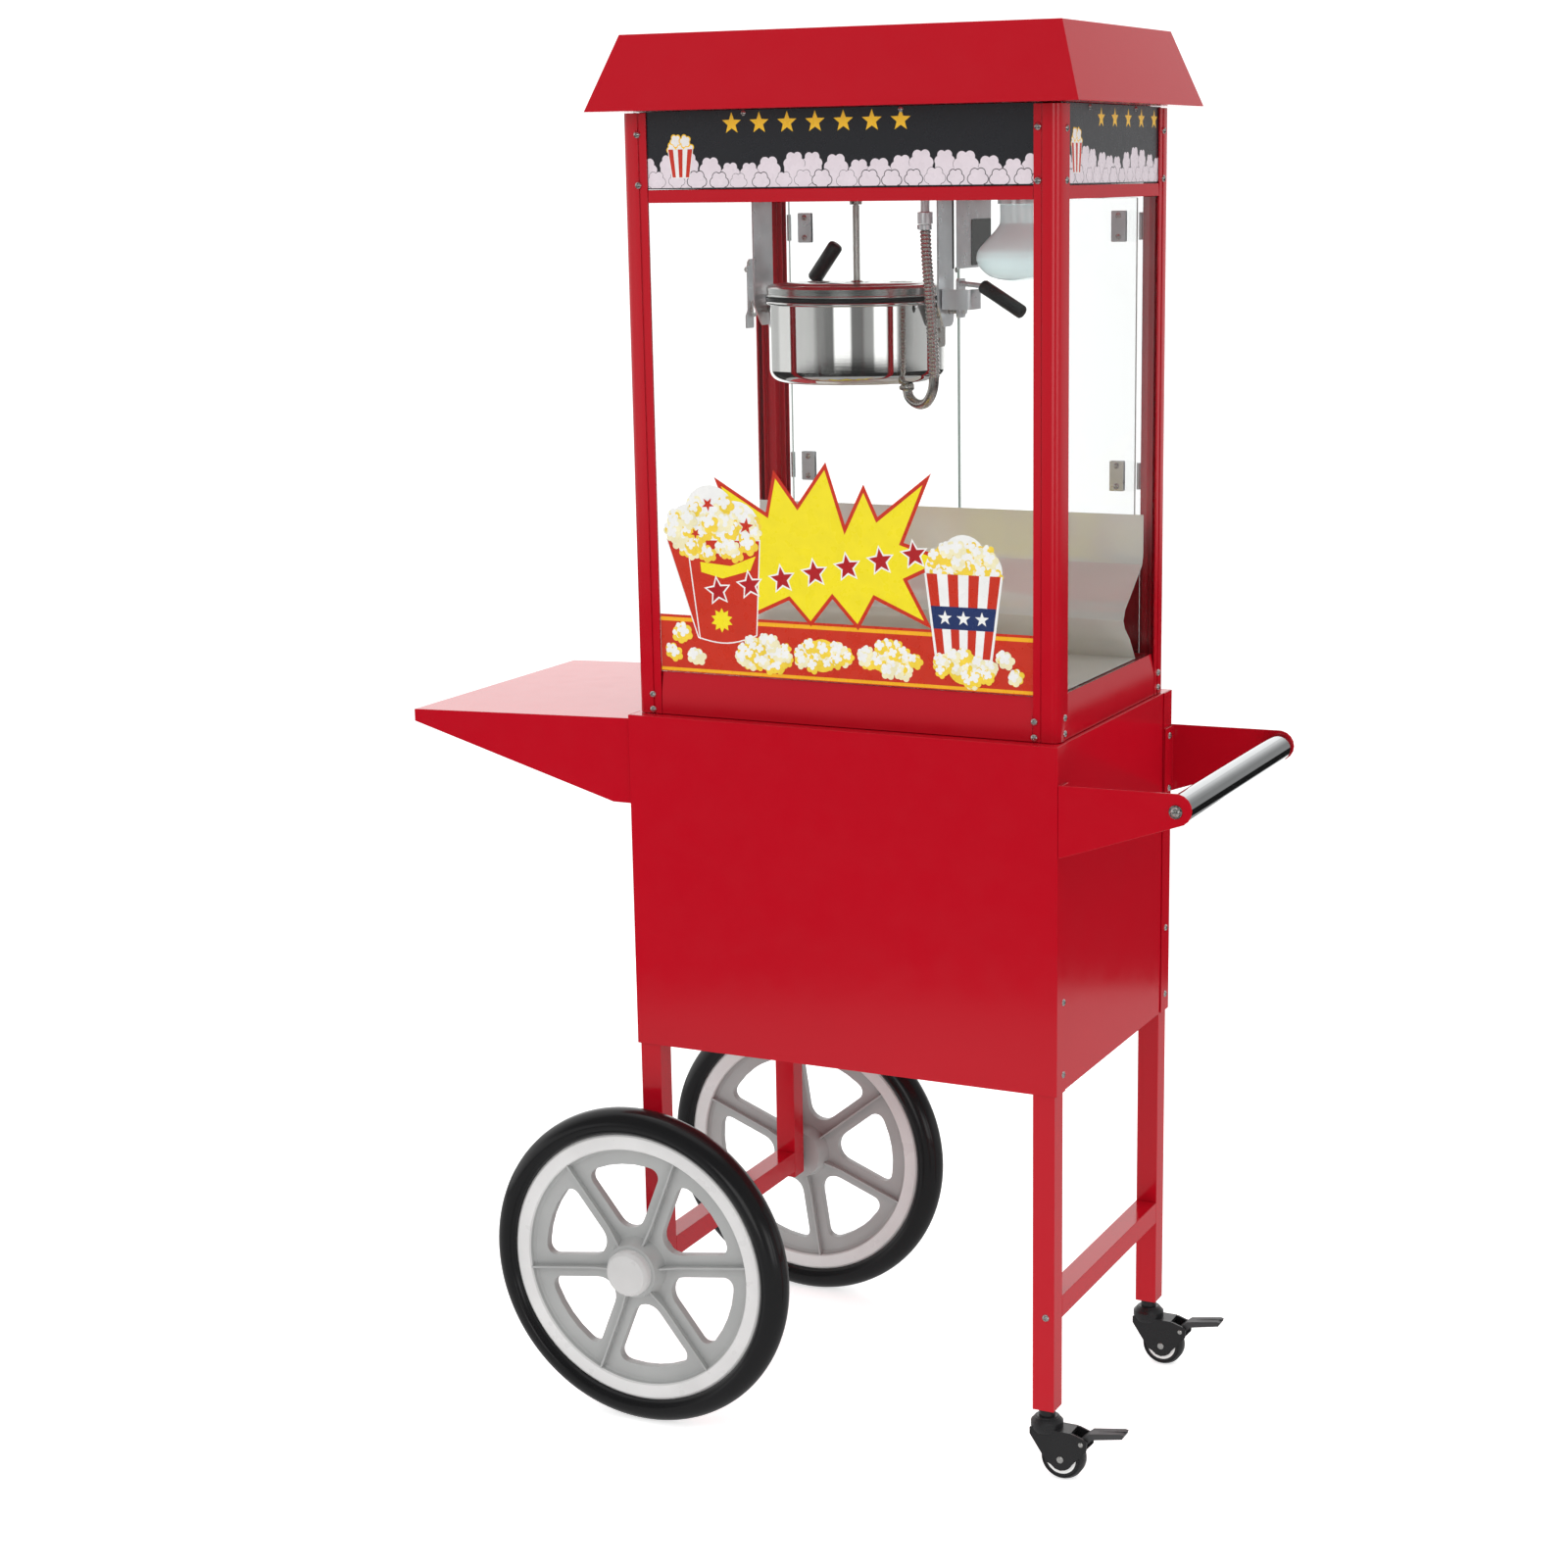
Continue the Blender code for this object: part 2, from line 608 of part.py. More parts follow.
def make_glazing(glass, print_black, red, centre):
    """Panes and sign plates, held in the posts' slots."""
    play = POST_BODY + 0.0010
    wide_x, wide_y = CAB_X - play, CAB_Y - play
    near = SLOT_NEAR + GAP
    low, high = BASE_TOP + 2 * GAP, RAIL_LOW - 2 * GAP
    front = CAB_Y - near
    piece("front_glass", box((-wide_x, -front, low), (wide_x, PANE - front, high)), glass, centre)
    for name, side in (("left", -1), ("right", 1)):
        x0, x1 = sorted((side * (CAB_X - near), side * (CAB_X - near - PANE)))
        piece(f"{name}_glass", box((x0, -wide_y, low), (x1, wide_y, high)), glass, centre)
    low, high, plate = RAIL_HIGH + 2 * GAP, ROOF_LOW - 2 * GAP, 0.002
    plate_box = box((-wide_x, -front, low), (wide_x, plate - front, high))
    piece("front_sign", plate_box, print_black, centre)
    for name, side in (("left", -1), ("right", 1)):
        x0, x1 = sorted((side * (CAB_X - near), side * (CAB_X - near - plate)))
        piece(f"{name}_sign", box((x0, -wide_y, low), (x1, wide_y, high)), print_black, centre)
    plate_box = box((-wide_x, front - plate, low), (wide_x, front, high))
    panel = piece("rear_control_panel", plate_box, red, centre)
    a, b = 0.0068, 0.0125  # half sizes of a switch's opening
    for x in SWITCH_X:
        cut(panel, box((x - a, front - 0.01, SWITCH_Z - b), (x + a, front + 0.01, SWITCH_Z + b)))


def make_switches(black, centre):
    """Rocker keys for the heater, the stirrer and the lamp."""
    outline = [(-0.0060, -0.0095), (0.0050, -0.0100), (0.0036, 0), (0.0056, 0.0100),
               (-0.0060, 0.0095)]
    for name, x in zip(("heater", "stirrer", "lamp"), SWITCH_X):
        pivot = empty(f"{name}_switch_pivot", (x, CAB_Y - SLOT_NEAR - 0.001, SWITCH_Z), centre)
        piece(f"{name}_switch", prism(outline, "X", -0.0060, 0.0060), black, pivot)


def make_doors(glass, centre):
    low, high = DOOR_LOW, RAIL_LOW - 0.002
    for name, side in (("left", -1), ("right", 1)):
        hinge = empty(f"{name}_door_hinge", (side * DOOR_HINGE_X, DOOR_HINGE_Y, 0), centre)
        x0, x1 = sorted((-side * 0.0028, -side * (DOOR_HINGE_X - 0.0008)))
        pane = box((x0, -0.0035 - DOOR_PANE, low), (x1, -0.0035, high))
        piece(f"{name}_door", pane, glass, hinge)


def make_roof(red, centre):
    """A hipped lid of folded sheet, with a flange that rests over the posts."""
    wall = ROOF_SHEET
    rings = [
        rectangle(ROOF_TOP_X, ROOF_TOP_Y, HEIGHT),
        rectangle(ROOF_LOW_X, ROOF_LOW_Y, ROOF_LOW),
        rectangle(ROOF_HOLE_X, ROOF_HOLE_Y, ROOF_LOW),
        rectangle(ROOF_HOLE_X, ROOF_HOLE_Y, ROOF_LOW + wall),
        rectangle(ROOF_LOW_X - 0.0025, ROOF_LOW_Y - 0.0025, ROOF_LOW + wall),
        rectangle(ROOF_TOP_X - 0.0012, ROOF_TOP_Y - 0.0012, HEIGHT - wall),
    ]
    piece("roof", loft(rings), red, centre)


# Machine: kettle, stirrer, lamp and tray

def make_kettle(steel, black, centre):
    """The pot on two trunnions, with its tilting handle."""
    pivot = empty("kettle_pivot", (KETTLE_X, 0, PIVOT_Z), centre)
    low, rim, r = KETTLE_LOW - PIVOT_Z, KETTLE_RIM - PIVOT_Z, KETTLE_R
    profile = [(0, low)] + arc((r - 0.014, low + 0.014), 0.014, 270, 360, 4)
    profile += [(r, rim - 0.003), (r + 0.004, rim - 0.002), (r + 0.004, rim), (r - 0.0025, rim),
                (r - 0.0025, low + 0.022), (r - 0.010, low + 0.016), (0, low + 0.016)]
    pot = piece("kettle_pot", turned(profile, "Z", 36, closed=False), steel, pivot)
    for side in (-1, 1):
        inner, boss, pin = side * (r - 0.0015), side * (r + 0.0060), side * TRUNNION_END
        join(pot, rod(0.0090, "X", *sorted((inner, boss)), 12))
        join(pot, rod(0.0040, "X", *sorted((side * (r + 0.004), pin)), 12))
    x, y = CONDUIT_END[0] - KETTLE_X, CONDUIT_END[1]
    join(pot, rod(0.0070, "Z", CONDUIT_END[2] + 0.0018 - PIVOT_Z, low + 0.002, 10), (x, y, 0))

    x0 = TRUNNION_END + 0.0010
    plate = box((x0, -0.012, -0.008), (x0 + 0.003, 0.008, 0.034))
    handle = piece("kettle_tilt_handle", plate, black, pivot)
    elbow = (x0 + 0.034, -0.010, 0.0260)
    join(handle, rod_between((x0 + 0.0015, -0.006, 0.029), elbow, 0.0030, 8))
    tip = (x0 + 0.0800, -0.016, -0.0020)
    join(handle, rod_between((x0 + 0.030, -0.010, 0.0268), tip, 0.0075, 12))
    return pivot


def make_lids(steel, pivot):
    """The lid's front half, fixed to the pot, and the hinged rear half with its grip."""
    reach, shaft_hole = 0.2, 0.0065
    lid = turned(lid_profile(), "Z", 36, closed=False)
    fixed = piece("kettle_fixed_lid", lid.copy(), steel, pivot)
    cut(fixed, box((-reach, FLAP_Y - GAP, -reach), (reach, reach, reach)))
    cut(fixed, rod(shaft_hole, "Z", -reach, reach))

    hinge = empty("flap_hinge", (0, FLAP_Y, LID_TOP - PIVOT_Z), pivot)
    lid.transform(Matrix.Translation((0, -FLAP_Y, PIVOT_Z - LID_TOP)))
    flap = piece("kettle_flap_lid", lid, steel, hinge)
    cut(flap, box((-reach, -reach, -reach), (reach, GAP, reach)))
    join(flap, rod_between((-0.0780, 0.0375, -0.0010), (-0.0475, 0.0375, 0.0400), 0.0085, 10))


def lid_profile():
    """A shallow cap from the kettle's pivot height, resting on the rim."""
    r, top, low = KETTLE_R + 0.003, LID_TOP - PIVOT_Z, KETTLE_RIM + GAP - PIVOT_Z
    return [(0, top), (r - 0.002, top), (r, top - 0.002), (r, low), (r - STEEL, low),
            (r - STEEL, top - 0.0025), (r - 0.003, top - STEEL), (0, top - STEEL)]


def make_stirrer(steel, pivot, centre):
    """The stirrer's long shaft ends in a tang, held by the motor's fork."""
    base = KETTLE_LOW + 0.0165 - PIVOT_Z
    spin = empty("stirrer_axis", (0, 0, 0), pivot)
    shaft = rod(SHAFT_R, "Z", base, SHAFT_TOP - PIVOT_Z, 12)
    stirrer = piece("stirrer", shaft, steel, spin)
    join(stirrer, rod(0.0110, "Z", base, base + 0.014, 12))
    join(stirrer, box((-0.0765, -0.0020, base + 0.0010), (0.0765, 0.0020, base + 0.0080)))
    join(stirrer, box((-0.0020, -0.0600, base + 0.0015), (0.0020, 0.0600, base + 0.0070)))
    low = SHAFT_TOP - PIVOT_Z
    join(stirrer, box((-0.0015, -0.0032, low - 0.0015), (0.0015, 0.0032, low + TANG)))
    motor = empty("coupling_axis", (KETTLE_X, 0, 0), centre)
    low = SHAFT_TOP + 0.0007
    profile = [(0, low), (0.0068, low), (0.0068, low + 0.0110), (0.0040, low + 0.0118),
               (0.0040, 1.4080), (0, 1.4080)]
    fork = piece("drive_coupling", turned(profile, "Z", 16, closed=False), steel, motor)
    cut(fork, box((-0.0022, -0.02, low - 0.01), (0.0022, 0.02, SHAFT_TOP + TANG + 0.001)))


def make_motor(grey, centre):
    gearbox = box((-0.036, -0.034, DECK), (0.050, 0.034, DECK + 0.034), 0.002)
    motor = piece("stir_motor", gearbox, grey, centre, (KETTLE_X, 0, 0))
    join(motor, rod(0.028, "Z", DECK + 0.03, DECK + 0.072, 20), (0.018, 0, 0))
    cut(motor, rod(0.0044, "Z", DECK - 0.01, DECK + 0.0202, 12))


def make_hangers(zinc, centre):
    """Plates from the ceiling that carry the kettle's trunnions."""
    for name, side, y0, y1 in (("left", -1, -0.034, 0.012), ("right", 1, -0.030, 0.012)):
        face = side * (KETTLE_R + 0.0115)
        x0, x1 = sorted((face, face + side * 0.0020))
        corners = [(y0, CEILING), (y0, 1.262), (-0.016, 1.240), (y1, 1.240), (y1, CEILING)]
        plate = prism(rounded(corners, [0, 0.004, 0.006, 0.010, 0]), "X", x0, x1)
        hanger = piece(f"{name}_hanger", plate, zinc, centre, (KETTLE_X, 0, 0))
        cut(hanger, rod(0.0046, "X", x0 - 0.01, x1 + 0.01, 12), (0, 0, PIVOT_Z))
        f0, f1 = sorted((face + side * 0.0005, face + side * 0.018))
        join(hanger, box((f0, y0, CEILING - 0.0020), (f1, y1, CEILING)))


def make_lamp(grey, glass, centre):
    """A shield and an E27 holder on one bracket, with a reflector bulb."""
    x0, x1 = SHIELD_X, SHIELD_X + 0.0015
    holder_r, half = 0.0200, 0.0235
    top, socket = CEILING - 0.0015, BULB_PROFILE[-1][1] + GAP
    flange = box((x0 + 0.0005, LAMP_Y - half, top), (LAMP_X + half, LAMP_Y + half, CEILING))
    bracket = piece("lamp_bracket", flange, grey, centre)
    join(bracket, box((x0, SHIELD_FRONT, 1.3035), (x1, SHIELD_REAR, CEILING - 0.0005)))
    join(bracket, rod(holder_r, "Z", socket, CEILING - 0.0005, 20), (LAMP_X, LAMP_Y, 0))
    bulb = turned(list(BULB_PROFILE), "Z", 24, closed=False)
    piece("lamp_bulb", bulb, glass, centre, (LAMP_X, LAMP_Y, 0))


def make_tray(steel, centre):
    """The polished tray: a slotted floor that rises at the rear in an S-shaped back."""
    floor, wide = BASE_TOP + GAP, 0.2400
    line = [(-0.134, floor), (0.098, floor), (0.079, 0.894), (0.063, 0.908), (0.0575, 0.918),
            (0.063, 0.929), (0.078, 0.9405), (0.102, 0.9595), (0.118, 0.972), (0.121, 0.983),
            (0.121, 1.0280)]
    mesh = prism(strip(line, STEEL), "X", -wide, wide)
    tray = piece("popcorn_tray", mesh, steel, centre)
    front = box((-OPEN_X + 0.004, 0.0075 - CAB_Y, floor), (OPEN_X - 0.004, -0.130, floor + STEEL))
    join(tray, front)
    for k in range(6):
        x = -0.100 + 0.040 * k
        cut(tray, box((x - 0.004, -0.080, floor - 0.01), (x + 0.004, 0.040, floor + 0.01)))


def smooth_route(points, steps):
    """A centripetal curve through the route's points, as evenly named steps per span."""
    ends = [2 * points[0] - points[1]] + points + [2 * points[-1] - points[-2]]
    result = []
    for a, b, c, d in zip(ends, ends[1:], ends[2:], ends[3:]):
        for k in range(steps):
            t = k / steps
            result.append(0.5 * (2 * b + (c - a) * t + (2 * a - 5 * b + 4 * c - d) * t * t
                                 + (3 * b - a - 3 * c + d) * t ** 3))
    return result + [points[-1]]


def make_conduit(zinc, centre):
    """The kettle's lead, in flexible metal conduit from the ceiling to the pot."""
    x, y, top = CONDUIT_ROUTE[0]
    sleeve, collar = 0.0048, 0.0082
    profile = [(0, top + GAP), (collar, top + GAP), (collar, top + 0.0125),
               (sleeve, top + 0.0130), (sleeve, CEILING), (0, CEILING)]
    piece("conduit_plug", turned(profile, "Z", 12, closed=False), zinc, centre, (x, y, 0))
    curve = bpy.data.curves.new("kettle_conduit", "CURVE")
    curve.dimensions = "3D"
    curve.bevel_depth = CONDUIT_R
    curve.bevel_resolution = 2
    curve.use_fill_caps = True
    points = smooth_route([Vector(p) for p in CONDUIT_ROUTE], 2)
    spline = curve.splines.new("POLY")
    spline.points.add(len(points) - 1)
    for target, point in zip(spline.points, points):
        target.co = (*point, 1)
    conduit = bpy.data.objects.new("kettle_conduit", curve)
    curve.materials.append(zinc.copy())
    conduit.parent = centre
    bpy.context.scene.collection.objects.link(conduit)


def make_cart():
    red = material("red_powder_coat", (0.42, 0.004, 0.012), 0.35)
    steel = material("stainless_steel", (0.62, 0.61, 0.59), 0.22, 1.0)
    zinc = material("zinc_plate", (0.60, 0.61, 0.62), 0.35, 1.0)
    chrome = material("chrome", (0.75, 0.75, 0.75), 0.08, 1.0)
    plastic = material("grey_plastic", (0.62, 0.63, 0.64), 0.45)
    rubber = material("tyre_rubber", (0.012, 0.012, 0.013), 0.35)
    black = material("black_plastic", (0.015, 0.015, 0.015), 0.4)
    sign = material("sign_print", (0.012, 0.012, 0.014), 0.3)
    glass = material("clear_glass", (0.80, 0.88, 0.84), 0.05, 0.0, 0.3)
    frosted = material("frosted_bulb", (0.82, 0.84, 0.84), 0.35)
    centre = empty("cart_centre", (CENTRE_X, 0, 0))

    make_box(red, centre)
    make_storage_door(red, centre)
    for side_name, sy in (("front", -1), ("rear", 1)):
        make_leg(f"{side_name}_left_leg", red, centre, -1, sy, LEFT_LEG_BOTTOM)
        make_leg(f"{side_name}_right_leg", red, centre, 1, sy, RIGHT_LEG_BOTTOM)
    make_cross_bar("left_cross_bar", red, centre, -1, 0.202)
    make_cross_bar("right_cross_bar", red, centre, 1, 0.206)
    make_shelf(red, centre)
    make_push_handle(red, chrome, centre)
    make_running_gear(plastic, rubber, black, zinc, centre)

    make_posts(red, centre)
    make_base(red, centre)
    make_drawer(steel, centre)
    make_header(red, centre)
    make_glazing(glass, sign, red, centre)
    make_switches(black, centre)
    make_doors(glass, centre)
    make_roof(red, centre)

    pivot = make_kettle(steel, black, centre)
    make_lids(steel, pivot)
    make_stirrer(steel, pivot, centre)
    make_motor(zinc, centre)
    make_hangers(zinc, centre)
    make_lamp(zinc, frosted, centre)
    make_tray(steel, centre)
    make_conduit(zinc, centre)


clear_scene()
make_cart()
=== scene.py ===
"""The looks of the popcorn cart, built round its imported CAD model.

Metres, +Z up, in the frame's own axes: the push handle is towards +X, the shelf and the
big wheels towards -X, the customers at -Y and the doors at +Y. Places given as cart
coordinates are measured from the middle of the trolley box, and at() turns them into
the frame's.
"""

import json
import math
import random

import bmesh
import bpy
from mathutils import Matrix, Vector


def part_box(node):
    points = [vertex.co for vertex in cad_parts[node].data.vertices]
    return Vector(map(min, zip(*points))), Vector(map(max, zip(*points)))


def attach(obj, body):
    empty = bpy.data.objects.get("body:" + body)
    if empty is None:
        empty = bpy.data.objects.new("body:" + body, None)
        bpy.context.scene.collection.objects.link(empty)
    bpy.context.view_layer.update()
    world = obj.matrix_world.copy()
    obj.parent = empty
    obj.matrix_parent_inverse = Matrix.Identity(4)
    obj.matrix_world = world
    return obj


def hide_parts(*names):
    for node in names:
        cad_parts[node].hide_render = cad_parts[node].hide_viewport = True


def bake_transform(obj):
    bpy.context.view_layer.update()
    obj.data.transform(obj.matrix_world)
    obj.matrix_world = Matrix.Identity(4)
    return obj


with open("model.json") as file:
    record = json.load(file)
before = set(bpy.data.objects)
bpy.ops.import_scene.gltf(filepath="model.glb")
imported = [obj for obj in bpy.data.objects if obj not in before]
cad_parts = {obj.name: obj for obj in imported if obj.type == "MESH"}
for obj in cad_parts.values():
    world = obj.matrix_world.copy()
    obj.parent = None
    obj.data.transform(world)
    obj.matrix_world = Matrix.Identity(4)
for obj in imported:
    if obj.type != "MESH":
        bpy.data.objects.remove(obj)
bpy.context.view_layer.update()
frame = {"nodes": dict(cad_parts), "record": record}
NODES = frame["nodes"]
BODY_OF = {n: b for b, names in frame["record"]["behaviour"]["bodies"].items() for n in names}
BOX = {name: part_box(name) for name in NODES}

# Main places, read from the frame
CART_X = (BOX["cart_front_panel"][0].x + BOX["cart_front_panel"][1].x) / 2
BOX_X = BOX["cart_front_panel"][1].x - CART_X
BOX_Y = BOX["cart_rear_panel"][1].y
KETTLE_X = (BOX["left_hanger"][0].x + BOX["right_hanger"][1].x) / 2 - CART_X
LID_TOP = BOX["kettle_fixed_lid"][1].z
LID_RADIUS = 0.1005
KETTLE_LOW = 1.18
PIVOT_Z = 1.2575
SWITCH_Z = 1.432
LAMP_X = (BOX["lamp_bulb"][0].x + BOX["lamp_bulb"][1].x) / 2 - CART_X
LAMP_Y = (BOX["lamp_bulb"][0].y + BOX["lamp_bulb"][1].y) / 2
GLASS_Y = BOX["front_glass"][0].y
SIGN_Y = BOX["front_sign"][0].y
SIGN_X = BOX["right_sign"][1].x - CART_X
SIGN_LOW, SIGN_HIGH = BOX["front_sign"][0].z, BOX["front_sign"][1].z
POST_X = BOX["front_right_post"][1].x - CART_X
POST_Y = BOX["rear_right_post"][1].y
SILL = BOX["front_glass"][0].z
WINDOW_X, WINDOW_Y = POST_X - 0.029, POST_Y - 0.029


def at(x, y, z):
    return Vector((CART_X + x, y, z))


# Mesh helpers. Each adds closed shapes to a bmesh, placed by a matrix.

UPRIGHT = Matrix.Identity(4)


def facing(origin, direction, up=(0, 0, 1)):
    """A matrix whose local Z runs along the direction, with local Y as near up as it goes."""
    z = Vector(direction).normalized()
    x = Vector(up).cross(z)
    if x.length < 1e-6:
        x = Vector((1, 0, 0))
    x.normalize()
    turn = Matrix((x, z.cross(x), z)).transposed().to_4x4()
    return Matrix.Translation(Vector(origin)) @ turn


def lathe(work, profile, place=UPRIGHT, steps=48, closed=False):
    """A solid of revolution about local Z, from (radius, height) points."""
    turns = [math.tau * k / steps for k in range(steps)]
    rings = []
    for r, h in profile:
        if r < 1e-7:
            rings.append([work.verts.new(place @ Vector((0, 0, h)))] * steps)
        else:
            points = [Vector((r * math.cos(t), r * math.sin(t), h)) for t in turns]
            rings.append([work.verts.new(place @ p) for p in points])
    if closed:
        rings.append(rings[0])
    for near, far in zip(rings, rings[1:]):
        for i in range(steps):
            j = (i + 1) % steps
            corners = list(dict.fromkeys((near[i], near[j], far[j], far[i])))
            if len(corners) > 2:
                work.faces.new(corners)


def slab(work, outline, low, high, place=UPRIGHT):
    """An outline in the local XY plane, pushed from low to high along local Z."""
    near = [work.verts.new(place @ Vector((u, v, low))) for u, v in outline]
    far = [work.verts.new(place @ Vector((u, v, high))) for u, v in outline]
    work.faces.new(near[::-1])
    work.faces.new(far)
    for i in range(len(outline)):
        j = (i + 1) % len(outline)
        work.faces.new((near[i], near[j], far[j], far[i]))


def brick(work, low, high, place=UPRIGHT):
    (x0, y0, z0), (x1, y1, z1) = low, high
    slab(work, rectangle(x0, y0, x1, y1), z0, z1, place)


def rod(work, radius, low, high, place=UPRIGHT, steps=24):
    """A cylinder along local Z."""
    lathe(work, [(0, low), (radius, low), (radius, high), (0, high)], place, steps)


def tube(work, path, radii, sides=12):
    """A round body along a path, with one radius or one for each point, and flat ends."""
    path = [Vector(p) for p in path]
    if not isinstance(radii, (list, tuple)):
        radii = [radii] * len(path)
    rings = []
    across = None
    for i, point in enumerate(path):
        ahead = (path[min(i + 1, len(path) - 1)] - path[max(i - 1, 0)]).normalized()
        if across is None:
            across = ahead.orthogonal().normalized()
        across = (across - ahead * across.dot(ahead)).normalized()
        other = ahead.cross(across)
        turns = [math.tau * k / sides for k in range(sides)]
        ring = [point + radii[i] * (across * math.cos(t) + other * math.sin(t)) for t in turns]
        rings.append([work.verts.new(p) for p in ring])
    for near, far in zip(rings, rings[1:]):
        for i in range(sides):
            j = (i + 1) % sides
            work.faces.new((near[i], near[j], far[j], far[i]))
    work.faces.new(rings[0][::-1])
    work.faces.new(rings[-1])


def arc(centre, radius, start, end, steps):
    """Points on an arc, with angles in degrees."""
    turns = [math.radians(start + (end - start) * k / steps) for k in range(steps + 1)]
    return [(centre[0] + radius * math.cos(t), centre[1] + radius * math.sin(t)) for t in turns]


def rounded(outline, radius, steps=4):
    """The outline with every corner made an arc; a list gives each corner its radius."""
    points = [Vector(p) for p in outline]
    radii = radius if isinstance(radius, (list, tuple)) else [radius] * len(points)
    result = []
    for i, (corner, r) in enumerate(zip(points, radii)):
        if r == 0:
            result.append(tuple(corner))
            continue
        back = (points[i - 1] - corner).normalized()
        ahead = (points[(i + 1) % len(points)] - corner).normalized()
        half = back.angle(ahead) / 2
        centre = corner + (back + ahead).normalized() * r / math.sin(half)
        start = corner + back * r / math.tan(half) - centre
        sweep = (math.pi - 2 * half) * (1 if back.x * ahead.y - back.y * ahead.x < 0 else -1)
        for k in range(steps + 1):
            result.append(tuple(centre + Matrix.Rotation(sweep * k / steps, 2) @ start))
    return result


def rectangle(u0, v0, u1, v1):
    return [(u0, v0), (u1, v0), (u1, v1), (u0, v1)]


def clipped(outline, u0, v0, u1, v1):
    """The part of an outline that lies in a rectangle."""
    for axis, limit, keep in ((0, u0, 1), (0, u1, -1), (1, v0, 1), (1, v1, -1)):
        result = []
        for i, end in enumerate(outline):
            start = outline[i - 1]
            inside = [keep * (p[axis] - limit) >= 0 for p in (start, end)]
            if inside[0] != inside[1]:
                share = (limit - start[axis]) / (end[axis] - start[axis])
                crossing = [a + (b - a) * share for a, b in zip(start, end)]
                crossing[axis] = limit
                result.append(tuple(crossing))
            if inside[1]:
                result.append(end)
        outline = result
        if len(outline) < 3:
            return []
    return outline


def linked(name, work):
    """A new object with the bmesh's shape."""
    made = bpy.data.objects.new(name, bpy.data.meshes.new(name))
    work.to_mesh(made.data)
    work.free()
    bpy.context.scene.collection.objects.link(made)
    return made


def bevelled(made, width, segments, sharp):
    change = made.modifiers.new("edges", "BEVEL")
    change.width, change.segments = width, segments
    change.limit_method = "ANGLE"
    change.angle_limit = math.radians(sharp)
    return change


def carved(work, tools, bevel=0.0):
    """A mesh of the first bmesh's shape less the others'."""
    bmesh.ops.recalc_face_normals(work, faces=work.faces)
    body, *cutters = [linked("carving", shape) for shape in (work, *tools)]
    for cutter in cutters:
        change = body.modifiers.new("cut", "BOOLEAN")
        change.operation = "DIFFERENCE"
        change.object = cutter
    if bevel:
        bevelled(body, bevel, 3, 60)
    graph = bpy.context.evaluated_depsgraph_get()
    mesh = bpy.data.meshes.new_from_object(body.evaluated_get(graph))
    for made in (body, *cutters):
        bpy.data.objects.remove(made)
    return mesh


def finished(name, work, material, body, bevel=0.0, sharp=35, segments=2):
    """Turns a bmesh into a piece, which rides on a body if one is named."""
    bmesh.ops.recalc_face_normals(work, faces=work.faces)
    made = linked(name, work)
    made.data.materials.append(material)
    made.data.shade_smooth()
    if bevel:
        bevelled(made, bevel, segments, sharp).harden_normals = True
    else:
        made.data.set_sharp_from_angle(angle=math.radians(sharp))
    if body:
        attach(made, body)
    return made


def painted(material, *nodes):
    """Gives CAD nodes that stay their finish."""
    for node in nodes:
        NODES[node].data.materials.clear()
        NODES[node].data.materials.append(material)


def softened(node, width, material, segments=2, name=None):
    """A copy of a CAD node with its edges rolled over, which stands for the node."""
    work = bmesh.new()
    work.from_mesh(NODES[node].data)
    bmesh.ops.remove_doubles(work, verts=work.verts, dist=1e-6)
    bmesh.ops.dissolve_limit(
        work, angle_limit=math.radians(0.4), verts=work.verts, edges=work.edges)
    clean = bmesh.new()
    copies = {v: clean.verts.new(v.co) for v in work.verts}
    for face in work.faces:
        clean.faces.new([copies[v] for v in face.verts])
    work.free()
    made = finished(name or f"{node}_skin", clean, material, BODY_OF[node],
                    width, 30, segments)
    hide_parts(node)


# Materials

def add_node(tree, kind, inputs, **settings):
    """A shader node with each input set, or linked if it is given a socket."""
    made = tree.nodes.new("ShaderNode" + kind)
    for key, value in settings.items():
        setattr(made, key, value)
    for key, value in inputs.items():
        if isinstance(value, bpy.types.NodeSocket):
            tree.links.new(value, made.inputs[key])
        else:
            made.inputs[key].default_value = value
    return made


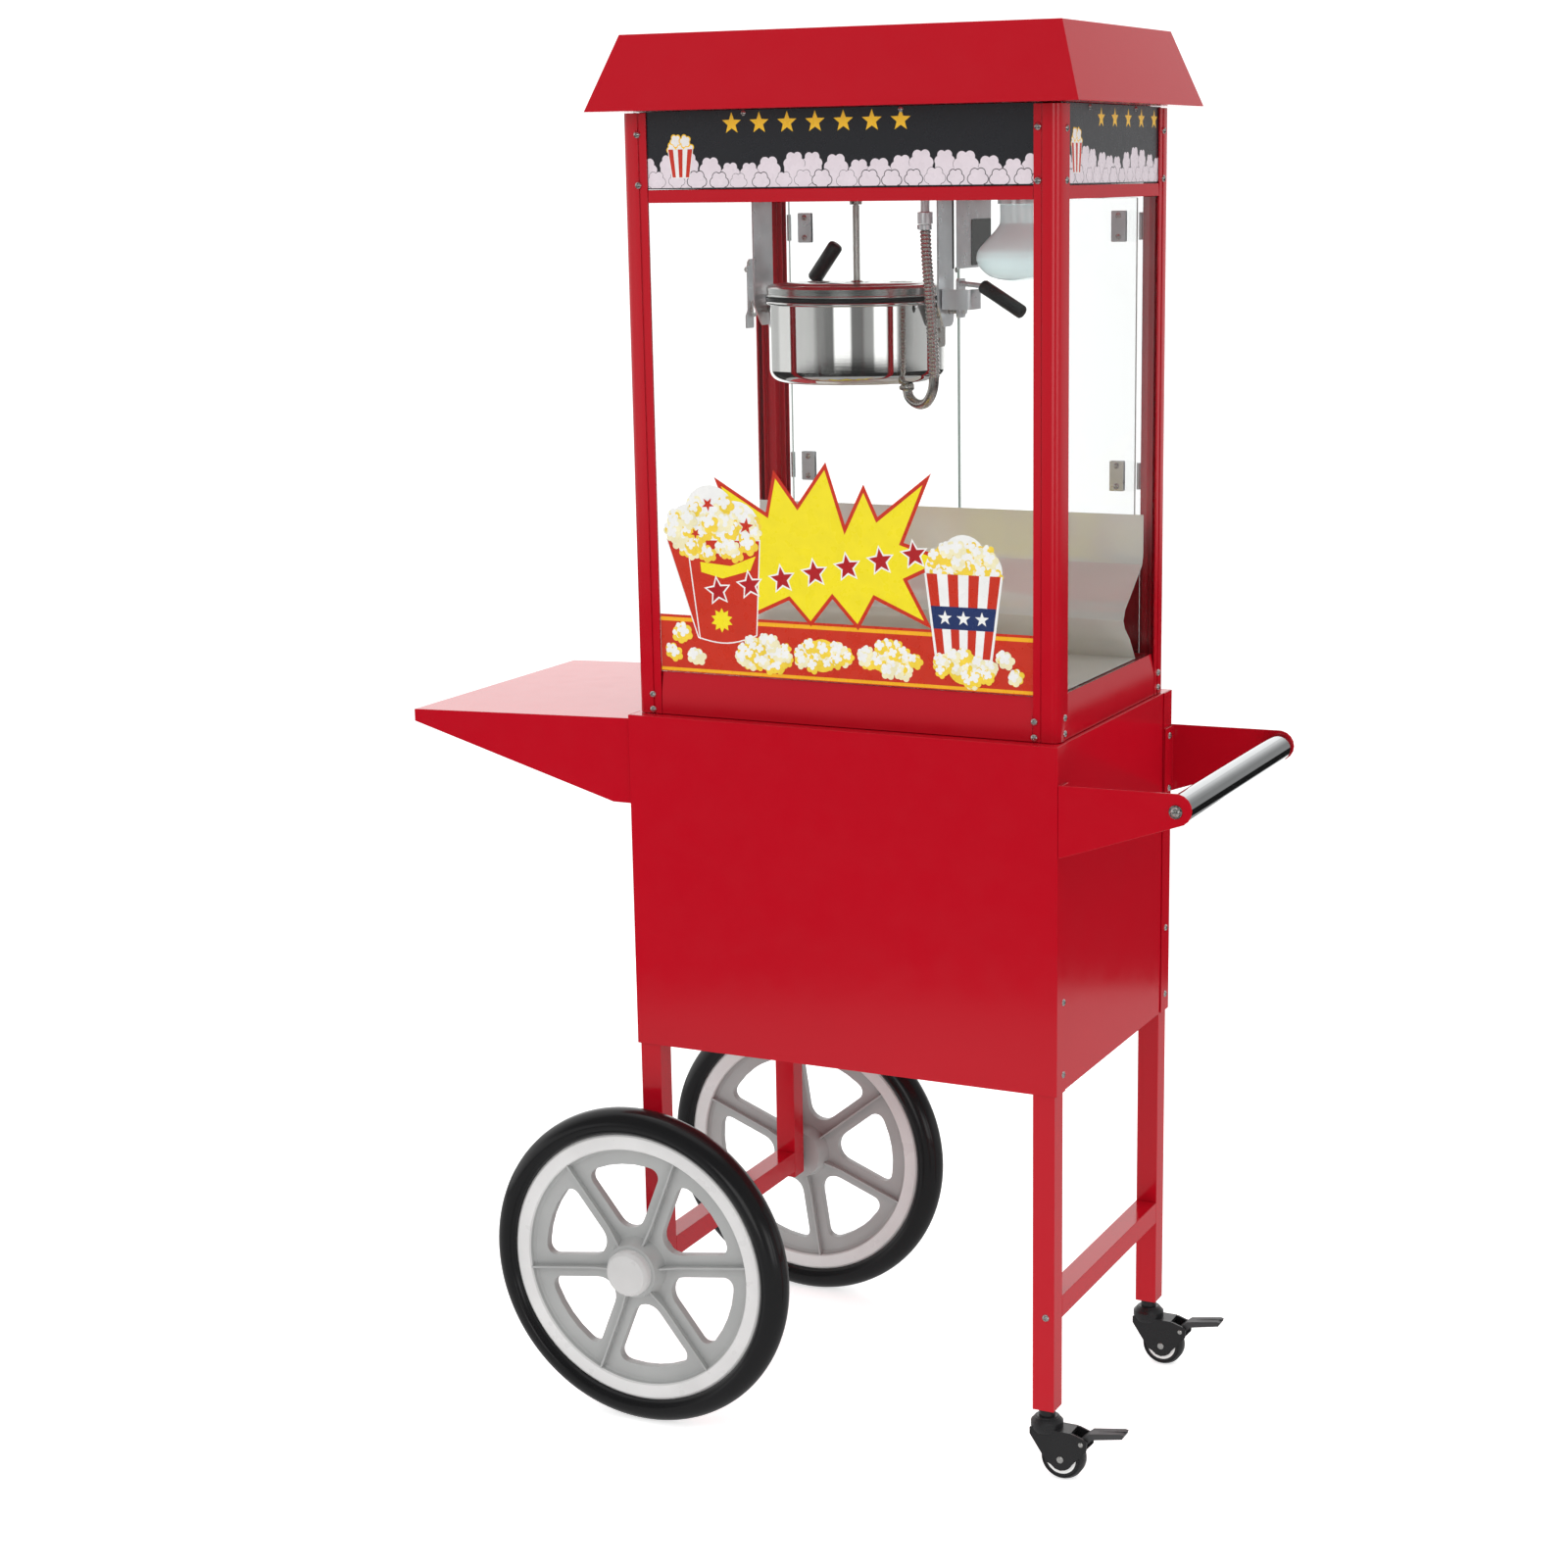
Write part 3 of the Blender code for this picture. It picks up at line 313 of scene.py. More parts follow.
class Shader:
    """A material with one Principled shader, and helpers that drive it by patterns."""

    def __init__(self, name, colour, roughness, metallic, **uniform):
        self.material = bpy.data.materials.new(name)
        self.material.use_nodes = True
        self.tree = self.material.node_tree
        self.principled = self.tree.nodes["Principled BSDF"]
        uniform |= {"Base_Color": (*colour, 1.0), "Roughness": roughness, "Metallic": metallic}
        for socket, value in uniform.items():
            self.principled.inputs[socket.replace("_", " ")].default_value = value

    def node(self, kind, **inputs):
        return add_node(self.tree, kind, {k.replace("_", " "): v for k, v in inputs.items()})

    def drive(self, socket, source):
        self.tree.links.new(source, self.principled.inputs[socket])

    def noise(self, scale, detail, stretch=(1, 1, 1)):
        """Noise in object coordinates, which are the frame's own, stretched along the axes."""
        place = self.node("Mapping", Vector=self.node("TexCoord").outputs["Object"],
                          Scale=stretch)
        return self.node("TexNoise", Vector=place.outputs["Vector"], Scale=scale, Detail=detail,
                         Roughness=0.5).outputs["Fac"]

    def roughness(self, source, low, high):
        """Roughness from a pattern, the middle of whose range goes from low to high."""
        made = self.node("MapRange", Value=source, From_Min=0.3, From_Max=0.7, To_Min=low,
                         To_Max=high)
        self.drive("Roughness", made.outputs["Result"])

    def mottle(self, source, colour, change):
        """Base colour from a pattern, a share darker and lighter than the colour."""
        ramp = self.node("ValToRGB", Fac=source)
        for element, position, sign in zip(ramp.color_ramp.elements, (0.3, 0.7), (-1, 1)):
            element.position = position
            element.color = (*(c * (1 + sign * change) for c in colour), 1.0)
        self.drive("Base Color", ramp.outputs["Color"])

    def bump(self, source, strength, distance):
        made = self.node("Bump", Height=source, Strength=strength, Distance=distance)
        self.drive("Normal", made.outputs["Normal"])

    def layer(self, shader, *layers):
        """The surface as a shader with others over it, each by its share."""
        for share, other in layers:
            inputs = {"Fac": share, 1: shader, 2: other}
            shader = add_node(self.tree, "MixShader", inputs).outputs["Shader"]
        self.tree.links.new(shader, self.tree.nodes["Material Output"].inputs["Surface"])


def surface(name, colour, mottle, gloss, grain=None, metallic=0.0, stretch=(1, 1, 1), **uniform):
    """A material from three noises: mottle is (scale, detail, change of colour), gloss is
    (scale, detail, low, high) and grain is (scale, detail, strength, depth)."""
    made = Shader(name, colour, gloss[2], metallic, **uniform)
    made.mottle(made.noise(*mottle[:2]), colour, mottle[2])
    made.roughness(made.noise(*gloss[:2], stretch), *gloss[2:])
    if grain:
        made.bump(made.noise(*grain[:2], stretch), *grain[2:])
    return made.material


def polished_steel(name, colour, low, high, stretch, scale, strength=0.04, metallic=1.0):
    """Polished stainless steel with fine lines drawn out across the stretched axis."""
    return surface(name, colour, (9, 3, 0.05), (scale, 3, low, high),
                   (scale, 2, strength, 0.0001), metallic, stretch)


def moulded(name, colour, low, high, grain, strength, **uniform):
    """Moulded plastic or rubber with a fine grain and slightly uneven gloss."""
    return surface(name, colour, (14, 3, 0.06), (45, 3, low, high),
                   (grain, 2, strength, 0.00015), **uniform)


def printed(name, colour, change=0.03):
    """Printed film: even ink with a slight mottle."""
    return surface(name, colour, (70, 3, change), (90, 2, 0.24, 0.34),
                   Coat_Weight=0.3, Coat_Roughness=0.08)


def clear_glass():
    """A thin clear pane: straight through it, or off its face, more so at a slant."""
    made = Shader("clear_glass", (0.972, 0.992, 0.982), 0.0, 0.0, IOR=1.45,
                  Transmission_Weight=1.0)
    made.bump(made.noise(3, 1), 0.01, 0.0005)
    slant = made.node("LayerWeight", Blend=0.5).outputs["Facing"]
    fifth = add_node(made.tree, "Math", {0: slant, 1: 5.0}, operation="POWER")
    share = add_node(made.tree, "Math", {0: fifth.outputs[0], 1: 0.95, 2: 0.025},
                     operation="MULTIPLY_ADD")
    through = made.node("BsdfTransparent", Color=(0.995, 1.0, 0.998, 1))
    off = made.node("BsdfGlossy", Roughness=0.02)
    made.layer(through.outputs["BSDF"], (share.outputs[0], off.outputs["BSDF"]),
               (made.node("LightPath").outputs["Is Transmission Ray"],
                made.principled.outputs["BSDF"]))
    return made.material


RED = surface("red_powder_coat", (0.455, 0.0032, 0.0125), (2.5, 3, 0.02), (35, 3, 0.11, 0.15),
              (650, 1.5, 0.04, 0.0002))
POT = polished_steel("polished_pot", (0.79, 0.78, 0.765), 0.03, 0.07, (0.3, 0.3, 14), 90)
LID = polished_steel("darkened_lid", (0.7, 0.71, 0.69), 0.18, 0.25, (1, 1, 60), 25, 0.02)
TRAY = polished_steel("polished_tray", (0.86, 0.85, 0.81), 0.1, 0.18, (0.15, 8, 8), 110,
                      metallic=0.35)
ROD = polished_steel("drawn_rod", (0.56, 0.54, 0.51), 0.22, 0.34, (6, 6, 0.4), 120)
# Dark steel that paints the shade on the lamp's shield.
SHIELD_SHADE = polished_steel("lamp_shield_painted_shade", (0.13, 0.13, 0.128), 0.14, 0.22, (1, 1, 20), 60, 0.02)
CHROME = polished_steel("chrome_tube", (0.47, 0.485, 0.49), 0.05, 0.1, (1, 1, 1), 60, 0.01)
ZINC = surface("zinc_plate", (0.8, 0.82, 0.84), (45, 3, 0.07), (60, 3, 0.26, 0.38),
               (220, 2, 0.03, 0.0002), 0.8)
SCREW = surface("bright_zinc", (0.68, 0.67, 0.65), (400, 2, 0.1), (500, 2, 0.18, 0.36),
                metallic=1.0)
# One grey plastic in two copies: a darker one for the web and spokes, which paints the shade in
# their recess, and a lighter one for the rim, which paints light on it.
SHADED_WHEEL = moulded("grey_plastic", (0.36, 0.365, 0.36), 0.3, 0.42, 700, 0.06)
LIT_RIM = moulded("wheel_grey_painted_light", (0.64, 0.635, 0.63), 0.26, 0.36, 700, 0.05)
CAP = moulded("hub_cap_plastic", (0.52, 0.515, 0.51), 0.26, 0.36, 700, 0.05)
RUBBER = moulded("tyre_rubber", (0.0065, 0.0065, 0.007), 0.14, 0.22, 500, 0.06,
                 Specular_IOR_Level=0.35)
BLACK = moulded("black_plastic", (0.012, 0.012, 0.013), 0.22, 0.34, 800, 0.12)
PEDAL = moulded("pedal_plastic", (0.045, 0.046, 0.048), 0.4, 0.55, 700, 0.18)
GRIP = moulded("phenolic_grip", (0.01, 0.01, 0.01), 0.24, 0.36, 500, 0.08)
WHITE = moulded("white_plastic", (0.78, 0.78, 0.77), 0.35, 0.48, 700, 0.06)
FROST = moulded("ground_edge", (0.58, 0.68, 0.64), 0.5, 0.65, 600, 0.04)
GLASS = clear_glass()
BULB = surface("frosted_glass", (0.74, 0.9, 0.91), (25, 2, 0.03), (120, 2, 0.32, 0.42),
               Coat_Weight=0.8, Coat_Roughness=0.05, Emission_Color=(0.85, 1.0, 1.0, 1),
               Emission_Strength=0.05)
INK_BLACK = printed("ink_black", (0.0125, 0.0135, 0.017))
INK_PUFF = printed("ink_puff", (0.76, 0.68, 0.73))
INK_WHITE = printed("ink_white", (0.84, 0.84, 0.82))
INK_CREAM = printed("ink_cream", (0.84, 0.78, 0.5), 0.08)
INK_YELLOW = printed("ink_yellow", (0.86, 0.72, 0.012))
INK_YOLK = printed("ink_yolk", (0.86, 0.62, 0.05), 0.08)
INK_GOLD = printed("ink_gold", (0.95, 0.56, 0.02))
INK_AMBER = printed("ink_amber", (0.86, 0.42, 0.012))
INK_RED = printed("ink_red", (0.56, 0.028, 0.01))
INK_BRICK = printed("ink_brick", (0.42, 0.01, 0.014))
INK_NAVY = printed("ink_navy", (0.018, 0.035, 0.125))


# Camera, floor and lights

def make_camera():
    """The viewpoint of a photographer at the cart's front right, looking slightly down."""
    width = 1600
    focal, centre_u, centre_v = 2878.67, 870.27, 827.43
    yaw, pitch, roll = 0.4414, 0.221, -0.0133
    data = bpy.data.cameras.new("camera")
    data.sensor_width = 36
    data.lens = focal / width * data.sensor_width
    data.shift_x = (width / 2 - centre_u) / width
    data.shift_y = (centre_v - width / 2) / width
    data.clip_end = 60
    camera = bpy.data.objects.new("camera", data)
    level = Matrix.Rotation(yaw, 4, "Z") @ Matrix.Rotation(math.pi / 2 - pitch, 4, "X")
    camera.matrix_world = (
        Matrix.Translation(at(1.2849, -2.8599, 1.3999)) @ level @ Matrix.Rotation(roll, 4, "Z")
    )
    bpy.context.scene.collection.objects.link(camera)
    bpy.context.scene.camera = camera


def area_light(name, place, target, size, power):
    data = bpy.data.lights.new(name, "AREA")
    data.shape = "RECTANGLE"
    data.size, data.size_y = size
    data.energy = power
    light = bpy.data.objects.new(name, data)
    light.location = place
    light.rotation_euler = (Vector(target) - Vector(place)).to_track_quat("-Z", "Y").to_euler()
    light.visible_glossy = False
    bpy.context.scene.collection.objects.link(light)


# The studio as reflections show it: brightness against compass bearing in degrees,
# at eye level, where strips of card stand round the cart, and higher up.
BACKDROP = 1.4  # its brightness through the panes
WORLD_FALL = 0.59  # how much dimmer the backdrop lights the cart than it looks
PEAK = 1.8
EYE_LEVEL = (
    (-180, 0.88), (-160, 0.88), (-146, 0.67), (-125, 0.6), (-119, 0.3), (-109, 0.26),
    (-106, 0.2), (-97, 0.2), (-94, 1.65), (-75, 1.65), (-72, 0.2), (-59, 0.17),
    (-55, 0.36), (-45, 0.42), (-42, 1.75), (-28, 1.75), (-25, 0.4), (-22, 0.42),
    (-19, 1.6), (-14, 1.5), (-10, 0.28), (2, 0.3), (14, 0.5), (37, 0.6),
    (50, 0.4), (74, 0.34), (84, 1.0), (112, 1.0), (122, 0.6), (168, 0.6), (174, 0.88),
)
HIGHER = (
    (-180, 0.85), (-165, 0.6), (-150, 0.17), (-100, 0.13), (0, 0.22), (45, 0.36),
    (58, 0.42), (74, 0.46), (86, 1.0), (130, 1.05), (165, 0.95), (180, 0.85),
)


def make_world():
    """A white backdrop, with a studio of bright and dark cards in the reflections."""
    world = bpy.data.worlds.new("studio")
    world.use_nodes = True
    tree = world.node_tree

    def math_of(operation, a, b):
        return add_node(tree, "Math", {0: a, 1: b}, operation=operation).outputs[0]

    def rise(source, low, high):
        inputs = {"Value": source, "From Min": low, "From Max": high}
        made = add_node(tree, "MapRange", inputs, interpolation_type="SMOOTHSTEP")
        return made.outputs["Result"]

    def ring(bearing, stops):
        ramp = add_node(tree, "ValToRGB", {"Fac": bearing})
        band = ramp.color_ramp
        while len(band.elements) < len(stops):
            band.elements.new(0.5)
        for element, (degrees, value) in zip(band.elements, stops):
            element.position = degrees / 360 + 0.5
            element.color = (value / PEAK, value / PEAK, value / PEAK, 1.0)
        return math_of("MULTIPLY", ramp.outputs["Color"], PEAK)

    coordinates = add_node(tree, "TexCoord", {})
    split = add_node(tree, "SeparateXYZ", {"Vector": coordinates.outputs["Generated"]})
    height = split.outputs["Z"]
    turn = math_of("ARCTAN2", split.outputs["Y"], split.outputs["X"])
    bearing = math_of("ADD", math_of("DIVIDE", turn, math.tau), 0.5)
    level, high = ring(bearing, EYE_LEVEL), ring(bearing, HIGHER)
    share = rise(height, 0.12, 0.24)
    walls = math_of("ADD", math_of("MULTIPLY", level, math_of("SUBTRACT", 1.0, share)),
                    math_of("MULTIPLY", high, share))
    walls = math_of("MULTIPLY", walls, rise(height, -0.14, -0.11))
    ceiling = math_of("MULTIPLY", rise(height, 0.8, 0.96), 0.6)
    studio = math_of("ADD", math_of("ADD", walls, ceiling), 0.015)
    behind = math_of("MULTIPLY", rise(bearing, 0.735, 0.76),
                     math_of("SUBTRACT", 1.0, rise(bearing, 0.885, 0.91)))
    behind = math_of("MULTIPLY", behind, rise(height, -0.62, -0.5))
    studio = math_of("MAXIMUM", studio, math_of("MULTIPLY", behind, BACKDROP))

    path = add_node(tree, "LightPath", {})
    glossy, diffuse = path.outputs["Is Glossy Ray"], path.outputs["Is Diffuse Ray"]
    plain = math_of("SUBTRACT", 1.3, math_of("MULTIPLY", diffuse, WORLD_FALL))
    strength = math_of("ADD", math_of("MULTIPLY", studio, glossy),
                       math_of("MULTIPLY", plain, math_of("SUBTRACT", 1.0, glossy)))
    background = tree.nodes["Background"]
    background.inputs["Color"].default_value = (1, 1, 1, 1)
    tree.links.new(strength, background.inputs["Strength"])
    bpy.context.scene.world = world


def make_floor():
    """A white disc that glows a little, to run into the backdrop, but reflects dimly."""
    white = (0.84, 0.84, 0.84)
    made = Shader("studio_floor", white, 0.8, 0.0, Specular_IOR_Level=0.0,
                  Emission_Color=(1, 1, 1, 1), Emission_Strength=0.62)
    made.mottle(made.noise(0.6, 2), white, 0.004)
    work = bmesh.new()
    slab(work, disc(0, 0, 1.9, 60), -0.02, 0)
    dim = made.node("Emission", Strength=0.42)
    made.layer(made.principled.outputs["BSDF"],
               (made.node("LightPath").outputs["Is Glossy Ray"], dim.outputs["Emission"]))
    floor = linked("studio_floor", work)
    floor.data.materials.append(made.material)


def make_lights():
    area_light("key", (-1.6, -3.6, 3.0), (0, 0, 0.8), (2.2, 2.2), 40)
    area_light("right", (3.4, -0.6, 2.2), (0.1, 0, 0.9), (1.4, 2.4), 20)
    area_light("top", (0.1, -0.3, 4.2), (0.1, 0, 0.8), (2.6, 2.6), 26)
    area_light("rear", (-1.8, 3.2, 2.4), (0, 0, 0.9), (2.0, 2.0), 22)


# Screws

def recessed_head():
    """A pan head of radius 1 with a cross recess, as a mesh to copy."""
    head, bars = bmesh.new(), (bmesh.new(), bmesh.new())
    lathe(head, [(0, 0.55), (0.35, 0.52), (0.68, 0.41), (0.88, 0.26), (1.0, 0.05), (1.0, -0.2),
                 (0, -0.2)], steps=20)
    for bar, (u, v) in zip(bars, ((0.62, 0.13), (0.13, 0.62))):
        brick(bar, (-u, -v, 0.2), (u, v, 1))
    return carved(head, bars)


HEAD = recessed_head()


def screw(work, point, direction, radius=0.0038, turn=0.4):
    """Adds a pan-head screw, seated on the point."""
    place = facing(point, direction) @ Matrix.Rotation(turn, 4, "Z") @ Matrix.Scale(radius, 4)
    before = len(work.verts)
    work.from_mesh(HEAD)
    bmesh.ops.transform(work, matrix=place, verts=work.verts[before:])


def screws(name, places, radius=0.0038, twist=1.1):
    """One fixed piece of several screws, each a (point, direction) and turned by a twist more."""
    work = bmesh.new()
    for number, (point, direction) in enumerate(places):
        screw(work, point, direction, radius, 0.4 + twist * number)
    finished(name, work, SCREW, "root", sharp=40)


def bolt(work, point, direction, radius, height):
    """A hexagon bolt head on a washer."""
    place = facing(point, direction)
    rod(work, radius * 1.45, 0, 0.0011, place)
    slab(work, disc(0, 0, radius, 6), 0.001, 0.001 + height, place)


# Sheet metal

def make_sheet_metal():
    for width, material, segments, names in (
            (0.00045, RED, 2, "cart_front_panel cart_rear_panel cart_side_and_top_shell "
             "cart_floor side_shelf storage_door header_pan machine_base rear_control_panel"),
            (0.0006, RED, 3, "front_left_leg front_right_leg rear_left_leg rear_right_leg "
             "left_cross_bar right_cross_bar handle_bracket_front handle_bracket_rear"),
            (0.00035, RED, 2, "front_left_post front_right_post rear_left_post rear_right_post"),
            (0.001, RED, 3, "roof"), (0.0003, TRAY, 2, "popcorn_tray crumb_drawer"),
            (0.0003, ZINC, 2, "left_hanger right_hanger lamp_bracket"),
            (0.0008, ZINC, 2, "stir_motor"), (0.0003, ROD, 2, "drive_coupling"),
            (0.0006, ROD, 2, "wheel_axle")):
        for node in names.split():
            softened(node, width, material, segments)


def make_screws():
    """The machine's and the trolley's visible fasteners, where the real ones show."""
    faces = []
    for x, x_low in ((-0.2312, -0.2312), (0.2257, 0.2225)):
        for z in (1.4467, 1.394):
            faces.append((at(x, -POST_Y, z), (0, -1, 0)))
        for z in (0.843, 0.8262):
            faces.append((at(x_low, -POST_Y, z), (0, -1, 0)))
    for x in (-0.2312, 0.2312):
        for z in (1.4467, 1.394, 0.843):
            faces.append((at(x, POST_Y, z), (0, 1, 0)))
    for side in (-1, 1):
        for y in (-0.148, 0.148):
            for z in (1.445, 1.394, 0.846, 0.829):
                faces.append((at(side * POST_X, y, z), (side, 0, 0)))
    screws("post_screws", faces)

    under = []
    for x in (-0.105, 0.075):
        under.append((at(x, SIGN_Y, SIGN_HIGH - 0.0035), (0, -1, 0)))
        under.append((at(x, -SIGN_Y, SIGN_HIGH - 0.0035), (0, 1, 0)))
    for side in (-1, 1):
        for y in (-0.075, 0.065):
            under.append((at(side * SIGN_X, y, SIGN_HIGH - 0.0035), (side, 0, 0)))
    screws("sign_screws", under, 0.003)

    trolley = []
    for side in (-1, 1):
        for y in (-0.163, 0.169):
            for z in (0.5415, 0.4612):
                trolley.append((at(side * BOX_X, y, z), (side, 0, 0)))
    screws("trolley_screws", trolley)

    bolts = []
    for side in (-1, 1):
        for leg, z in (("front_right_leg", 0.188), ("front_left_leg", 0.184)):
            low, high = BOX[leg]
            bolts.append((((low.x + high.x) / 2 + 0.0028, -side * low.y, z), (0, side, 0)))
    screws("leg_bolts", bolts, 0.0042, 0)

    x = BOX["handle_bracket_front"][0].x + 0.002
    screws("bracket_bolts", [((x, side * (BOX_Y - 0.013), z), (1, 0, 0))
                             for side in (-1, 1) for z in (0.7085, 0.7695)], 0.004, 0)


# Push handle

def make_push_handle():
    """The chromed tube with a turned end, and the bolt that holds it through each bracket."""
    low, high = BOX["push_handle_tube"]
    radius = (high.z - low.z) / 2
    middle = (low + high) / 2
    half = (high.y - low.y) / 2
    work = bmesh.new()
    profile = [(0, -half), (radius - 0.001, -half), (radius, -half + 0.001)]
    profile += [(r, -h) for r, h in reversed(profile)]
    lathe(work, profile, facing(middle, (0, 1, 0)), 72)
    made = finished("push_handle_tube_skin", work, CHROME, "root")
    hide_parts("push_handle_tube")
    work = bmesh.new()
    for side in (-1, 1):
        place = facing((middle.x, side * BOX_Y, middle.z), (0, side, 0))
        rod(work, 0.0072, 0, 0.001, place, 28)
        screw(work, (middle.x, side * (BOX_Y + 0.001), middle.z), (0, side, 0), 0.0052)
    finished("push_handle_bolts", work, SCREW, "root", sharp=40)


# Big wheels

def spoke_window(middle):
    """A rounded opening between two spokes, centred on an angle in degrees."""
    half_spoke, outer = 0.013, 0.122
    near = half_spoke / math.sin(math.radians(30))
    spread = math.radians(30) - math.asin(half_spoke / outer)
    corners = [(near, 0)]
    for k in range(-3, 4):
        corners.append((outer * math.cos(spread * k / 3), outer * math.sin(spread * k / 3)))
    turn = Matrix.Rotation(math.radians(middle), 2)
    outline = rounded(corners, [0.02, 0.011, 0, 0, 0, 0, 0, 0.011], 8)
    return [tuple(turn @ Vector(p)) for p in outline]


def wheel_casting(side, centre, phase):
    """The wheel's mesh: a turned body with six windows cut through its web."""
    outward = facing(centre, (0, side, 0)) @ Matrix.Rotation(math.radians(phase), 4, "Z")
    cap_height = abs(BOX["front_wheel"][0].y) - abs(centre[1])
    web, rim_in, seat = 0.005, 0.1405, 0.1594
    profile = [
        (0, 0.03), (0.031, 0.0236), (0.032, 0.016), (0.036, web + 0.0012),
        (0.04, web), (rim_in - 0.004, web), (rim_in - 0.001, web + 0.002),
        (rim_in, 0.0105), (rim_in + 0.0015, 0.0126), (seat - 0.003, 0.0126), (seat, 0.0106),
        (seat, -0.0106), (seat - 0.003, -0.0126), (rim_in + 0.0015, -0.0126),
        (rim_in, -0.0105), (rim_in - 0.001, -web - 0.002), (rim_in - 0.004, -web),
        (0.04, -web), (0.034, -0.008), (0.03, -0.029), (0.008, -0.0294), (0, -0.0294),
    ]
    work, windows = bmesh.new(), bmesh.new()
    lathe(work, profile, UPRIGHT, 144)
    for number in range(6):
        slab(windows, spoke_window(30 + 60 * number), -0.02, 0.02)
    result = bmesh.new()
    result.from_mesh(carved(work, [windows], 0.0016))
    bmesh.ops.transform(result, matrix=outward, verts=result.verts)
    return result, outward, cap_height


def make_big_wheel(name, side, phase):
    """A six-spoked wheel with its ribs, hub cap and tyre, turned by the phase in degrees."""
    low, high = BOX[f"{name}_tyre"]
    radius = (high.z - low.z) / 2
    centre = (low + high) / 2
    work, outward, cap_height = wheel_casting(side, centre, phase * -side)
    rib = [(0.03, 0.004), (0.1412, 0.004), (0.1412, 0.012), (0.056, 0.012),
           (0.034, 0.0165), (0.03, 0.0175)]
    for number in range(6):
        turn = outward @ Matrix.Rotation(math.radians(60 * number), 4, "Z")
        for outline in (rib, [(u, -v) for u, v in rib]):
            slab(work, outline, -0.0011, 0.0011, turn @ Matrix.Rotation(math.pi / 2, 4, "X"))
    body = f"{name}_big_wheel"
    wheel = finished(f"{name}_wheel_moulding", work, SHADED_WHEEL, body, sharp=32)
    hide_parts(f"{name}_wheel")
    # Faces beyond the web take the lighter copy: painted shade on the spokes and painted light on
    # the rim.
    wheel.data.materials.append(LIT_RIM)
    for face in wheel.data.polygons:
        middle = Vector((face.center.x - centre.x, face.center.z - centre.z))
        face.material_index = 1 if middle.length > 0.14 else 0

    work = bmesh.new()
    cap = [(0, cap_height), (0.0205, cap_height), (0.0232, cap_height - 0.0008),
           (0.0262, cap_height - 0.0042), (0.0268, cap_height - 0.006), (0.0268, 0.0226),
           (0.0285, 0.0222), (0.029, 0.02), (0, 0.02)]
    lathe(work, cap, outward, 72)
    finished(f"{name}_hub_cap", work, CAP, body, sharp=28)

    work = bmesh.new()
    seat = 0.1597
    side_wall = [(seat, 0.014), (0.1625, 0.0166), (0.164, 0.0175), (0.165, 0.0171),
                 (0.1662, 0.0184)]
    tread = [(radius - 0.019 * (1 - math.sin(t)), 0.019 * math.cos(t))
             for t in (math.radians(a) for a in range(4, 90, 8))]
    half = side_wall + tread
    section = half + [(radius, 0)] + [(r, -h) for r, h in reversed(half)]
    lathe(work, section, outward, 160, closed=True)
    tyre = finished(f"{name}_tyre_moulding", work, RUBBER, body, sharp=50)
    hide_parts(f"{name}_tyre")


# Casters

def make_caster(name):
    """A swivel caster's fork, wheel, fixings and brake pedal."""
    body, roller = f"{name}_caster", f"{name}_caster_roller"
    softened(f"{name}_caster_fork", 0.0007, BLACK, 3)
    low, high = BOX[f"{name}_caster_wheel"]
    centre = (low + high) / 2
    half, radius = (high.y - low.y) / 2, (high.z - low.z) / 2
    work = bmesh.new()
    profile = [(0.0045, -half), (0.019, -half), (0.0205, -half + 0.0008), (0.0212, -half),
               (0.0222, -half), (radius - 0.0012, -half + 0.0022), (radius, -half + 0.0052)]
    profile += [(r, -h) for r, h in reversed(profile)]
    lathe(work, profile, facing(centre, (0, 1, 0)), 56, closed=True)
    wheel = finished(f"{name}_caster_wheel_moulding", work, BLACK, roller)
    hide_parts(f"{name}_caster_wheel")

    work = bmesh.new()
    for y_sign in (-1, 1):
        ring = [(0.0136, -0.0004), (0.0136, 0.0003), (0.0172, 0.0003), (0.0172, -0.0004)]
        place = facing((centre.x, centre.y + y_sign * half, centre.z), (0, y_sign, 0))
        lathe(work, ring, place, 48, closed=True)
    finished(f"{name}_caster_ring", work, WHITE, roller)

    stem_x = centre.x - 0.02
    cheek = 0.0125
    work = bmesh.new()
    for x, z, r in ((centre.x, centre.z, 0.0042), (stem_x + 0.044, 0.047, 0.003)):
        for y_sign in (-1, 1):
            place = facing((x, centre.y + y_sign * cheek, z), (0, y_sign, 0))
            lathe(work, [(0, 0.0013), (r * 0.55, 0.0012), (r * 0.9, 0.0007), (r, 0), (r, -0.0008),
                         (0, -0.0008)], place, 28)
    finished(f"{name}_caster_rivets", work, SCREW, body)

    work = bmesh.new()
    rod(work, 0.007, 0.0776, 0.0789, Matrix.Translation((stem_x, centre.y, 0)))
    finished(f"{name}_caster_washer", work, SCREW, body)

    work = bmesh.new()
    for k in range(3):
        turn = Matrix.Translation((stem_x, centre.y, 0.064)) @ Matrix.Rotation(k, 4, "Z")
        lathe(work, [(0.012, 0.0), (0.0172 - 0.0014 * k, 0.0001 + 0.0018 * k),
                     (0.0166 - 0.0014 * k, 0.0012 + 0.0018 * k), (0.012, 0.0014 + 0.0018 * k)],
              turn, 40, closed=True)
    finished(f"{name}_caster_seal", work, BLACK, body)

    softened(f"{name}_caster_brake", 0.0007, PEDAL, 3, f"{name}_brake_pedal_skin")
    work = bmesh.new()
    tip = BOX[f"{name}_caster_brake"][1]
    for k in range(5):
        place = (tip.x - 0.0055 - 0.0046 * k, centre.y, tip.z - 0.0005 - 0.00085 * k)
        brick(work, (-0.0074, -0.0008, -0.001), (0.0074, 0.0008, 0.0008),
              facing(place, (-0.16, 0, 1), (0, 1, 0)))
    finished(f"{name}_pedal_ribs", work, PEDAL, f"{name}_brake_pedal", 0.0003)


# Kettle

